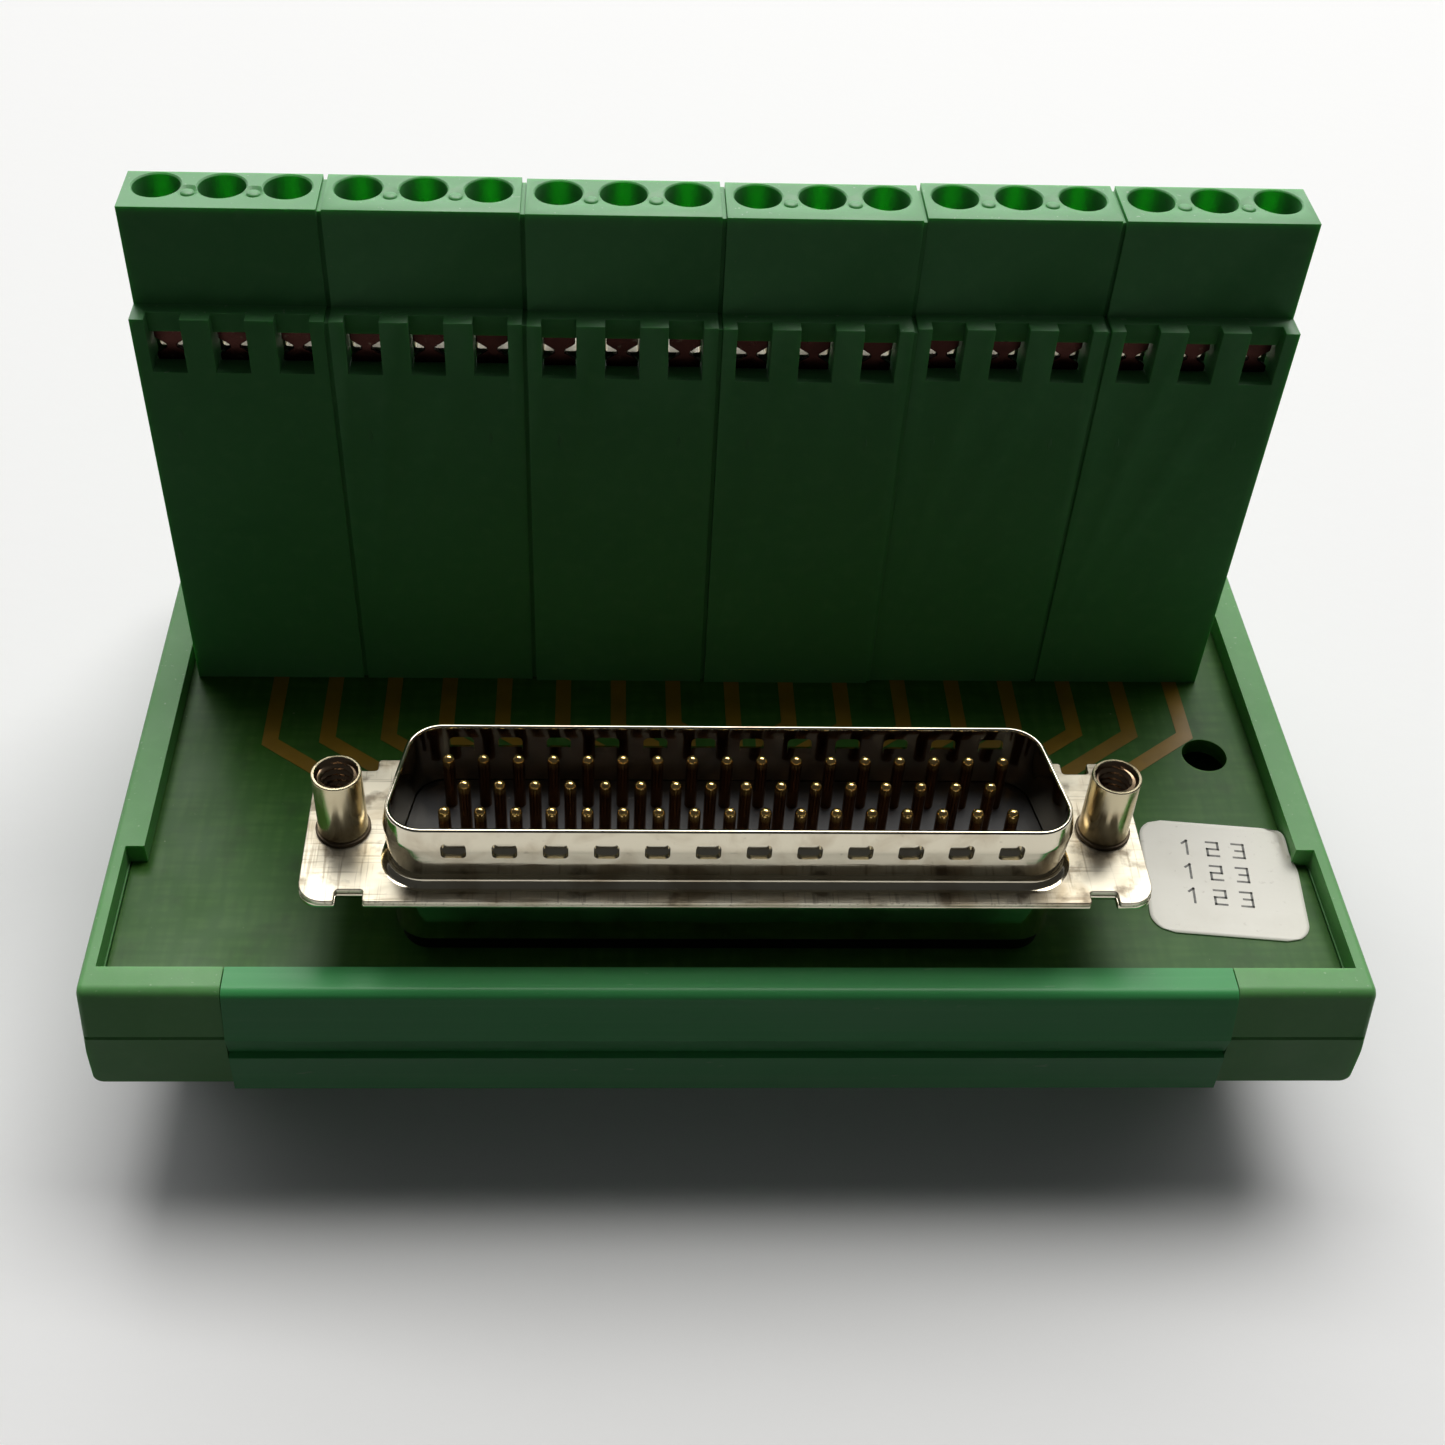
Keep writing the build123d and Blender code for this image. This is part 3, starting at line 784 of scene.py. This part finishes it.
def screw(bm, center, base):
    """A cheese head on a threaded shank, from the underside of the head. Its slot is cut afterwards."""
    z = base - THREAD_SPAN[0]
    outline = [(0, base - SHANK_LENGTH), (SHANK_TIP, base - SHANK_LENGTH), (SHANK_RADIUS, z)]
    while z < base - THREAD_SPAN[1]:
        outline += [(THREAD_CREST, z), (THREAD_ROOT, z + THREAD_FALL), (THREAD_CREST, z + THREAD_PITCH)]
        z += THREAD_PITCH
    outline += [(SHANK_RADIUS, base)]
    outline += [(radius, base + height) for radius, height in HEAD_SECTION]
    turned(bm, outline, center, count=28)


def contact_strip(bm, x, shift, drop, tier):
    """A bar through the cage and a leg with a waist, cut from one thick strip."""
    leg_front, floor = (TOP_LEG_FRONT, SILL) if tier == 0 else (LOWER_LEG_FRONT, POCKET_FLOOR)
    leg_front, floor = leg_front + shift, floor - drop
    leg_back = leg_front + STRIP_THICK
    bar_top = WINDOW_TOP - STRIP_CLEARANCE - drop
    right = [(STRIP_HALF, bar_top)] + [(half, SILL - drop + z) for half, z in WAIST] + [(STRIP_HALF, floor)]
    outline = [(x + u, z) for u, z in right] + [(x - u, z) for u, z in reversed(right)]
    prism(bm, outline, lambda u, v, end: (u, leg_back if end else leg_front, v))
    low = (x - BAR_HALF, leg_back - OVERLAP, bar_top - BAR_THICK)
    box(bm, low, (x + BAR_HALF, BAR_END + shift, bar_top))


def clamp_pieces(number):
    """The nine cages, strips and screws of one block."""
    low, high = box_mm(f"terminal_housing_{number}")
    move = Matrix.Translation(((low[0] + high[0]) / 2, low[1], BOARD_TOP))
    cages, strips, screws, slots = bmesh.new(), bmesh.new(), bmesh.new(), bmesh.new()
    for tier in range(TIERS):
        shift, drop = tier * TIER_RUN, tier * TIER_RISE
        for x in POLES:
            middle = POCKET_FLOOR + CAGE_HEIGHT / 2 - drop
            front, back = CAGE_FRONT + shift, CAGE_BACK + shift
            sleeve(cages, (x, middle), CAGE_WIDTH, CAGE_HEIGHT, CAGE_WALL, front, back)
            contact_strip(strips, x, shift, drop, tier)
            base = HEAD_BASE - drop
            screw(screws, (x, WELL_Y + shift), base)
            turn = Matrix.Rotation(random.uniform(0, math.pi), 4, "Z")
            before = len(slots.verts)
            reach = SCREW_SLOT_REACH
            box(slots, (-reach, -SCREW_SLOT_HALF, 0), (reach, SCREW_SLOT_HALF, reach))
            slots.verts.ensure_lookup_table()
            place = Matrix.Translation((x, WELL_Y + shift, base + SCREW_SLOT_FLOOR)) @ turn
            bmesh.ops.transform(slots, matrix=place, verts=slots.verts[before:])
    for bm in (cages, strips, screws, slots):
        bmesh.ops.transform(bm, matrix=move, verts=bm.verts)
    cage = mesh_object(f"cages_{number}", cages, CAGE)
    # The strips take the darkened copper, which is painted shade.
    strip = mesh_object(f"strips_{number}", strips, COPPER_PAINTED_SHADE)
    add_bevel(strip, width=0.07, segments=1, angle=50)
    turned_screws = mesh_object(f"screws_{number}", screws, SCREW, SCREW_SMOOTH)
    cut(turned_screws, slots, "slot_cutter")
    turned_screws.data.set_sharp_from_angle(angle=math.radians(SCREW_SMOOTH))
    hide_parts(f"clamp_cages_{number}")
    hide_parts(f"contact_strips_{number}")
    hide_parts(f"clamp_screws_{number}")


for number in BLOCKS:
    clamp_pieces(number)


# Connector: shell with a drawn collar, slots and notches
shell_low, shell_high = box_mm("connector_front_shell")
SHELL_X = (shell_low[0] + shell_high[0]) / 2
SHELL_Y = (shell_low[1] + shell_high[1]) / 2
FLANGE_BOTTOM = shell_low[2]
FLANGE_TOP = FLANGE_BOTTOM + 0.5
COLLAR_TOP = shell_high[2]
COLLAR_LENGTH = 54.3
COLLAR_DEPTH = 11.75
COLLAR_WALL = 0.4
COLLAR_FOOT = 0.75
FLANGE_UNDER = 0.25
COLLAR_CORNER = 2.9
COLLAR_LEAN = math.tan(math.radians(10))
COLLAR_SWELL = 0.28
COLLAR_SMOOTH = 40
SLOTS = 12
SLOT_PITCH = 3.9
SLOT_SHIFT = 0.2
SLOT_PLACES = [SHELL_X + (index - (SLOTS - 1) / 2) * SLOT_PITCH + SLOT_SHIFT for index in range(SLOTS)]
SLOT_HEIGHT = FLANGE_TOP + 4.05
SLOT_SIZE = (1.95, 1.65)
SLOT_CORNER = 0.45
SLOT_REACH = 9
TONGUE_HALF = 0.95
TONGUE_SECTION = [(0.1, -0.95), (-0.32, -0.5), (-0.36, 0.12), (-0.16, 0.12), (-0.12, -0.45), (0.3, -0.95)]
FLANGE_NOTCH_X = 29.5
FLANGE_NOTCH_HALF = 1.1
FLANGE_NOTCH_DEPTH = 1.25
FLANGE_RADII = [2.0, 0.25, 0.3, 0.3, 0.25]
JACK_X = 30.555
JACK_HOLE = 1.6


def collar_loop(grow, count=10):
    """The D outline, grown outwards by a distance."""
    front = COLLAR_LENGTH / 2 + grow * (1 + COLLAR_LEAN)
    height = COLLAR_DEPTH / 2 + grow
    back = front - 2 * height * COLLAR_LEAN
    corners = [
        (SHELL_X - front, SHELL_Y - height),
        (SHELL_X + front, SHELL_Y - height),
        (SHELL_X + back, SHELL_Y + height),
        (SHELL_X - back, SHELL_Y + height),
    ]
    return rounded(corners, max(COLLAR_CORNER + grow, 0.5), count)


def collar():
    """The drawn wall: a section swept round the D, with a fillet at its foot and a rounded rim."""
    outer_face = [
        (0.03, FLANGE_TOP + 1.0),
        (COLLAR_SWELL - 0.03, COLLAR_TOP - 2.1),
        (COLLAR_SWELL, COLLAR_TOP - 1.8),
        (COLLAR_SWELL - 0.02, COLLAR_TOP - 1.5),
        (0.04, COLLAR_TOP - 0.4),
        (0, COLLAR_TOP - 0.2),
    ]
    foot = FLANGE_BOTTOM + 0.6
    section = arc((COLLAR_FOOT, FLANGE_TOP + COLLAR_FOOT), COLLAR_FOOT, -90, -180, 6) + outer_face
    section += arc((-COLLAR_WALL / 2, COLLAR_TOP - 0.2), COLLAR_WALL / 2, 0, 180, 6)[1:]
    section += [(-COLLAR_WALL, foot)]
    section += arc((COLLAR_FOOT - COLLAR_WALL, foot), COLLAR_FOOT, 180, 233, 4)[1:]
    section += [(COLLAR_FOOT, FLANGE_BOTTOM)]
    bm = bmesh.new()
    rings = [[bm.verts.new((x, y, z)) for x, y in collar_loop(grow)] for grow, z in section]
    join_rings(bm, zip(rings, rings[1:] + rings[:1]))
    return mesh_object("connector_collar", bm, TINNED, COLLAR_SMOOTH)


def slot_cutter():
    """The row of slots, cut through both long walls of the collar."""
    bm = bmesh.new()
    outline = rounded_rectangle(*SLOT_SIZE, SLOT_CORNER, 6)
    for x in SLOT_PLACES:
        points = [(x + u, SLOT_HEIGHT + v) for u, v in outline]
        prism(bm, points, lambda u, v, end: (u, SHELL_Y + (SLOT_REACH if end else -SLOT_REACH), v))
    return bm


def slot_tongues():
    """The metal pushed in behind the lower half of each slot."""
    bm = bmesh.new()
    for x in SLOT_PLACES:
        left, right = x - TONGUE_HALF, x + TONGUE_HALF
        for side in (-1, 1):
            wall = SHELL_Y + side * (COLLAR_DEPTH / 2 - COLLAR_WALL)
            points = [(wall + side * y, SLOT_HEIGHT + z) for y, z in TONGUE_SECTION]
            prism(bm, points, lambda y, z, end: (right if end else left, y, z))
    mesh_object("connector_slot_tongues", bm, TINNED)


def flange_loop():
    """Outline of the flange with four notches, with round corners throughout."""
    half_x, half_y = (shell_high[0] - shell_low[0]) / 2, (shell_high[1] - shell_low[1]) / 2
    near, far = FLANGE_NOTCH_X - FLANGE_NOTCH_HALF, FLANGE_NOTCH_X + FLANGE_NOTCH_HALF
    inner_y = half_y - FLANGE_NOTCH_DEPTH
    corners, radii = [], []
    for sx, sy in ((-1, -1), (1, -1), (1, 1), (-1, 1)):
        group = [(half_x, half_y), (far, half_y), (far, inner_y), (near, inner_y), (near, half_y)]
        group = [(sx * x, sy * y) for x, y in group]
        group_radii = list(FLANGE_RADII)
        if sx * sy < 0:
            group.reverse()
            group_radii.reverse()
        corners += group
        radii += group_radii
    return [(SHELL_X + x, SHELL_Y + y) for x, y in rounded(corners, radii, 6)]


collar_piece = collar()
cut(collar_piece, slot_cutter(), "slot_cutter")
collar_piece.data.set_sharp_from_angle(angle=math.radians(COLLAR_SMOOTH))
slot_tongues()
screw_holes = [
    [(SHELL_X + side * JACK_X + x, SHELL_Y + y) for x, y in circle(JACK_HOLE, 32)]
    for side in (-1, 1)
]
flat_plate(
    "connector_flange",
    flange_loop(),
    [collar_loop(COLLAR_FOOT - FLANGE_UNDER)] + screw_holes,
    (FLANGE_BOTTOM, FLANGE_TOP),
    TINNED_FLAT,
    bevel=0.08,
)
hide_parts("connector_front_shell")


# Contacts with rounded tips
CONTACT_WIDTH = 0.96
CONTACT_RADIUS = 0.5
CONTACT_TIP = 0.55


def contact_row(name, pieces):
    """Contacts with rounded tips in place of one row's plain ones."""
    low, high = box_mm(name)
    step = (high[0] - low[0] - CONTACT_WIDTH) / (pieces - 1)
    first = low[0] + CONTACT_WIDTH / 2
    y = (low[1] + high[1]) / 2
    bottom, shoulder = low[2], high[2] - CONTACT_TIP
    outline = [(0, bottom), (CONTACT_RADIUS, bottom), (CONTACT_RADIUS, shoulder)]
    for angle in range(15, 90, 15):
        turn = math.radians(angle)
        outline.append((CONTACT_RADIUS * math.cos(turn), shoulder + CONTACT_TIP * math.sin(turn)))
    outline.append((0, high[2]))
    bm = bmesh.new()
    for index in range(pieces):
        turned(bm, outline, (first + index * step, y), count=20)
    row = mesh_object(name + "_pins", bm, GOLD_PAINTED_SHADE, smooth_angle=60)
    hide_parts(name)


contact_row("front_row_contacts", 17)
contact_row("middle_row_contacts", 16)
contact_row("rear_row_contacts", 17)


# Jack posts with an inner thread: sections count from the top and from the foot
BORE_RADIUS = 1.2
BORE_DEPTH = 5.4
BORE_LIP = 0.45
POST_THREAD = 0.3
POST_PITCH = 0.635
POST_STEPS = 10
POST_FLAT = 0.15
POST_SIDES = 40
POST_MOUTH = [(1.52, -0.42), (1.68, -0.06), (1.74, 0), (1.88, 0), (1.95, -0.05), (1.97, -0.15)]
POST_FOOT = [(1.97, 0.75), (2.03, 0.35), (2.03, 0.12), (1.96, 0.02), (1.9, 0)]
WASHER_THICK = 0.35
STUD_RADIUS = 1.4
STUD_ROOT = 0.1
STUD_TIP = (1.2, 0.2)


def inner_thread(bm, center, low, high):
    """A helical thread on the wall of a bore, as a height field round a cylinder."""
    rows = int((high - low) / POST_PITCH * POST_STEPS)
    grid = []
    for i in range(rows + 1):
        z = low + (high - low) * i / rows
        ring = []
        for k in range(POST_SIDES):
            turn = k / POST_SIDES
            phase = ((z - low) / POST_PITCH - turn) % 1.0
            crest = 1 - abs(2 * phase - 1)
            rise = (crest - POST_FLAT) / (1 - 2 * POST_FLAT)
            r = BORE_RADIUS + POST_THREAD * min(1.0, max(0.0, rise))
            angle = 2 * math.pi * turn
            ring.append(bm.verts.new((center[0] + r * math.cos(angle), center[1] + r * math.sin(angle), z)))
        grid.append(ring)
    join_rings(bm, zip(grid, grid[1:]))
    return grid[0], grid[-1]


def jack_post(name):
    """A turned post with a thin rim, a countersunk mouth and a thread inside."""
    low, high = box_mm(name)
    x, y = (low[0] + high[0]) / 2, (low[1] + high[1]) / 2
    top = high[2]
    foot = FLANGE_TOP + WASHER_THICK
    bm = bmesh.new()
    floor, lip = inner_thread(bm, (x, y), top - BORE_DEPTH, top - BORE_LIP)
    bm.faces.new(floor)
    mouth_faces = 2 * POST_SIDES
    bore_faces = len(bm.faces) + mouth_faces
    outline = [(radius, top + z) for radius, z in POST_MOUTH]
    outline += [(radius, foot + z) for radius, z in POST_FOOT]
    rings = [lip]
    for radius, height in outline:
        rings.append([bm.verts.new((x + u, y + v, height)) for u, v in circle(radius, POST_SIDES)])
    join_rings(bm, zip(rings, rings[1:]))
    bm.faces.new(rings[-1])
    bm.faces.ensure_lookup_table()
    # The bore and its mouth take the darker plating, which is painted shade in the hole.
    for face in bm.faces[:bore_faces]:
        face.material_index = 1
    post = mesh_object(name + "_turned", bm, POST, smooth_angle=34)
    post.data.materials.append(BORE_PAINTED_SHADE)
    end, root = low[2], foot + STUD_ROOT
    outline = [(0, end), (STUD_TIP[0], end), (STUD_RADIUS, end + STUD_TIP[1]), (STUD_RADIUS, root), (0, root)]
    stud = bmesh.new()
    turned(stud, outline, (x, y), count=28)
    mesh_object(name + "_stud", stud, POST)
    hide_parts(name)


jack_post("jack_post_left")
jack_post("jack_post_right")


# Copper tracks from the terminals towards the connector
TRACK_WIDTH = 1.4
TRACK_LIFT = 0.035
TRACK_START = 1.8
TRACK_BEND = -4.5
TRACK_END = -24.0
TRACK_PULL = 0.35
TRACK_SLANT = 0.75
STRAIGHT_RUN = 0.8
BEND_SPREAD = 0.05
BEND_SKEW = 0.02


def track(bm, points):
    """A thin raised strip along points on the board."""
    left, right = [], []
    for i, point in enumerate(points):
        here = Vector(point)
        before = (here - Vector(points[i - 1])).normalized() if i else None
        after = (Vector(points[i + 1]) - here).normalized() if i < len(points) - 1 else None
        way = (before + after).normalized() if before and after else (before or after)
        side = Vector((-way.y, way.x))
        reach = TRACK_WIDTH / 2
        if before and after:
            reach /= max(0.5, way.dot(after))
        left.append(here + side * reach)
        right.append(here - side * reach)
    loop = [tuple(p) for p in left + list(reversed(right))]
    low, high = BOARD_TOP - OVERLAP, BOARD_TOP + TRACK_LIFT
    ends = [[bm.verts.new((x, y, z)) for x, y in loop] for z in (low, high)]
    count = len(points)
    for i in range(count - 1):
        a, b = i, i + 1
        c, d = 2 * count - 2 - i, 2 * count - 1 - i
        bm.faces.new((ends[1][a], ends[1][b], ends[1][c], ends[1][d]))
        bm.faces.new((ends[0][a], ends[0][d], ends[0][c], ends[0][b]))
    for i in range(2 * count):
        j = (i + 1) % (2 * count)
        bm.faces.new((ends[0][i], ends[0][j], ends[1][j], ends[1][i]))


def tracks():
    """Tracks from the poles, each with a slanting run towards the connector's middle."""
    bm = bmesh.new()
    for number in BLOCKS:
        low, high = box_mm(f"terminal_housing_{number}")
        for pole in POLES[1:] if number == 1 else POLES:
            x = (low[0] + high[0]) / 2 + pole
            away = x - SHELL_X
            run = TRACK_PULL * away
            points = [(x, TRACK_START), (x, TRACK_END)]
            if abs(run) >= STRAIGHT_RUN:
                bend = TRACK_BEND - BEND_SPREAD * abs(away) + BEND_SKEW * away
                target = x - run
                points[1:] = [(x, bend), (target, bend - abs(run) * TRACK_SLANT), (target, TRACK_END)]
            track(bm, points)
    mesh_object("copper_tracks", bm, TRACK, smooth_angle=30)


tracks()


# Label: a thin bent sheet with plain numbers in short strokes
TOP_BAR = ((0, 1), (0.6, 1))
FOOT_BAR = ((0, 0), (0.6, 0))
STROKES = {
    "1": [((0.3, 0), (0.3, 1)), ((0.05, 0.78), (0.3, 1))],
    "2": [TOP_BAR, ((0.6, 1), (0.6, 0.5)), ((0.6, 0.5), (0, 0.5)), ((0, 0.5), (0, 0)), FOOT_BAR],
    "3": [TOP_BAR, ((0.6, 1), (0.6, 0)), ((0.15, 0.5), (0.6, 0.5)), FOOT_BAR],
}
LABEL_TURN = Matrix.Rotation(math.radians(-5.8), 2)
LABEL_SIZE = (13.2, 12.7)
LABEL_SHIFT = (0.42, 0.1)
LABEL_CORNER = 2.0
LABEL_THICK = 0.1
LABEL_STEPS = 36
NUMBER_START = (-3.1, 2.6)
NUMBER_PITCH = 2.2
LINE_PITCH = 2.75
NUMBER_HEIGHT = 1.55
STROKE_HALF = 0.1
INK_ROOT = -0.01
INK_RISE = 0.012
RIM_FOOT = (48.52, -21.65)
BEND_BEFORE = 0.25
BEND_FADE = 0.7
BEND_BACK = 0.8
BEND_UP = 0.75
CURL = 0.02
CURL_FROM = 0.8


def label_frame():
    """The middle of the label on the board, and the height of its top."""
    low, high = box_mm("asset_label")
    middle = Vector(((low[0] + high[0]) / 2 + LABEL_SHIFT[0], (low[1] + high[1]) / 2 + LABEL_SHIFT[1]))
    return middle, high[2]


def label_lift(x, y, u):
    """Where a point of the label's sheet lies: flat, or bent up where it meets the wide rim."""
    over = x - RIM_FOOT[0] + BEND_BEFORE
    near = max(0.0, min(1.0, (y - RIM_FOOT[1] + BEND_FADE) / (2 * BEND_FADE)))
    if over > 0 and near > 0:
        return x - over * near * BEND_BACK, over * near * BEND_UP
    return x, CURL * max(0.0, u - CURL_FROM) / (1 - CURL_FROM)


def label_sheet():
    """The label's paper, with round corners."""
    middle, top = label_frame()
    half_u, half_v = LABEL_SIZE[0] / 2, LABEL_SIZE[1] / 2
    bm = bmesh.new()
    grid = []
    for j in range(LABEL_STEPS + 1):
        v = -half_v + 2 * half_v * j / LABEL_STEPS
        edge = half_v - abs(v)
        reach = half_u
        if edge < LABEL_CORNER:
            round_in = math.sqrt(max(0.0, LABEL_CORNER**2 - (LABEL_CORNER - edge) ** 2))
            reach = half_u - LABEL_CORNER + round_in
        row = []
        for i in range(LABEL_STEPS + 1):
            u = -reach + 2 * reach * i / LABEL_STEPS
            place = LABEL_TURN @ Vector((u, v)) + middle
            x, lift = label_lift(place.x, place.y, u / half_u)
            row.append(bm.verts.new((x, place.y, top - LABEL_THICK / 2 + lift)))
        grid.append(row)
    for a, b in zip(grid, grid[1:]):
        for i in range(LABEL_STEPS):
            bm.faces.new((a[i], a[i + 1], b[i + 1], b[i]))
    sheet = mesh_object("label_sheet", bm, PAPER, smooth_angle=60)
    solid = sheet.modifiers.new("thickness", "SOLIDIFY")
    solid.thickness = LABEL_THICK * MM
    solid.offset = 0.0
    bake_modifiers(sheet)
    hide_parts("asset_label")


def label_numbers():
    """Three rows of plain numbers, each stroke a thin raised bar of ink."""
    middle, top = label_frame()
    bm = bmesh.new()
    for line in range(3):
        for place, sign in enumerate("123"):
            origin = Vector((NUMBER_START[0] + place * NUMBER_PITCH, NUMBER_START[1] - line * LINE_PITCH))
            for a, b in STROKES[sign]:
                start = LABEL_TURN @ (origin + Vector(a) * NUMBER_HEIGHT) + middle
                end = LABEL_TURN @ (origin + Vector(b) * NUMBER_HEIGHT) + middle
                way = (end - start).normalized() * STROKE_HALF
                side = Vector((-way.y, way.x))
                quad = [start - way - side, end + way - side, end + way + side, start - way + side]
                corners = [tuple(p) for p in quad]
                prism(bm, corners, lambda u, v, e: (u, v, top + (INK_RISE if e else INK_ROOT)))
    mesh_object("label_numbers", bm, INK)


label_sheet()
label_numbers()


# Floor, light and camera

def seen_directly(tree):
    """One for rays from the camera, a reflection or a transmission, nought for diffuse light."""
    path = tree.nodes.new("ShaderNodeLightPath")
    total = path.outputs["Is Camera Ray"]
    for name in ("Is Glossy Ray", "Is Transmission Ray"):
        node = tree.nodes.new("ShaderNodeMath")
        node.operation = "MAXIMUM"
        tree.links.new(total, node.inputs[0])
        tree.links.new(path.outputs[name], node.inputs[1])
        total = node.outputs[0]
    return total


def floor():
    """A pale floor that the camera and reflections see, and that lights nothing from below."""
    bm = bmesh.new()
    bmesh.ops.create_grid(bm, x_segments=1, y_segments=1, size=FLOOR_REACH)
    mesh = bpy.data.meshes.new("floor")
    bm.to_mesh(mesh)
    bm.free()
    obj = add_object("floor", mesh)
    m = Finish("floor_paper", FLOOR_BOUNCE, 0.9)
    m.tint(FLOOR_COLOR, seen_directly(m.tree))
    m.bump(m.noise(500, 3), 0.00002)
    m.set("Specular IOR Level", 0.1)
    obj.data.materials.append(m.mat)
    obj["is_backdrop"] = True


def area_light(name, place, target, size, watts, color):
    """A rectangular lamp that looks at a point."""
    lamp = bpy.data.lights.new(name, "AREA")
    lamp.shape = "RECTANGLE"
    lamp.size, lamp.size_y = size
    lamp.energy = watts
    lamp.color = color
    obj = add_object(name, lamp)
    obj.location = place
    obj.rotation_euler = (Vector(target) - Vector(place)).to_track_quat("-Z", "Y").to_euler()


def camera():
    """The photograph's camera: its place, turn and lens, solved from the connector's standard sizes."""
    pitch, yaw, roll = 0.776157, 0.049346, 0.040271
    place = Vector((-10.33, -128.05, 139.91)) * MM
    forward = Vector((math.sin(yaw) * math.cos(pitch), math.cos(yaw) * math.cos(pitch), -math.sin(pitch)))
    right = Vector((math.cos(yaw), -math.sin(yaw), 0))
    up = right.cross(forward)
    across = math.cos(roll) * right + math.sin(roll) * up
    upright = -math.sin(roll) * right + math.cos(roll) * up
    data = bpy.data.cameras.new("camera")
    data.sensor_width = 36.0
    data.lens = 46.96
    data.shift_x = 0.0358
    data.shift_y = 0.0085
    data.clip_start = 0.01
    data.clip_end = 20
    obj = add_object("camera", data)
    turn = Matrix((across, upright, -forward)).transposed()
    obj.matrix_world = Matrix.Translation(place) @ turn.to_4x4()
    bpy.context.scene.camera = obj


def studio():
    """A soft dome that is bright behind the object and dark in front of it."""
    world = bpy.data.worlds.new("studio")
    bpy.context.scene.world = world
    world.use_nodes = True
    tree = world.node_tree
    background = tree.nodes["Background"]
    background.inputs["Color"].default_value = DOME_TINT
    coords = tree.nodes.new("ShaderNodeTexCoord")
    split = tree.nodes.new("ShaderNodeSeparateXYZ")
    tree.links.new(coords.outputs["Generated"], split.inputs["Vector"])
    ramp = tree.nodes.new("ShaderNodeMapRange")
    ramp.interpolation_type = "SMOOTHSTEP"
    for key, value in zip(("From Min", "From Max", "To Min", "To Max"), (*DOME_SPAN, DOME_FRONT, DOME_BACK)):
        ramp.inputs[key].default_value = value
    tree.links.new(split.outputs["Y"], ramp.inputs["Value"])
    tree.links.new(ramp.outputs["Result"], background.inputs["Strength"])


floor()
area_light("window", WINDOW_PLACE, WINDOW_TARGET, WINDOW_SIZE, WINDOW_WATTS, WINDOW_TINT)
camera()
studio()
bpy.context.scene.view_settings.view_transform = "Standard"

low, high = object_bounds()
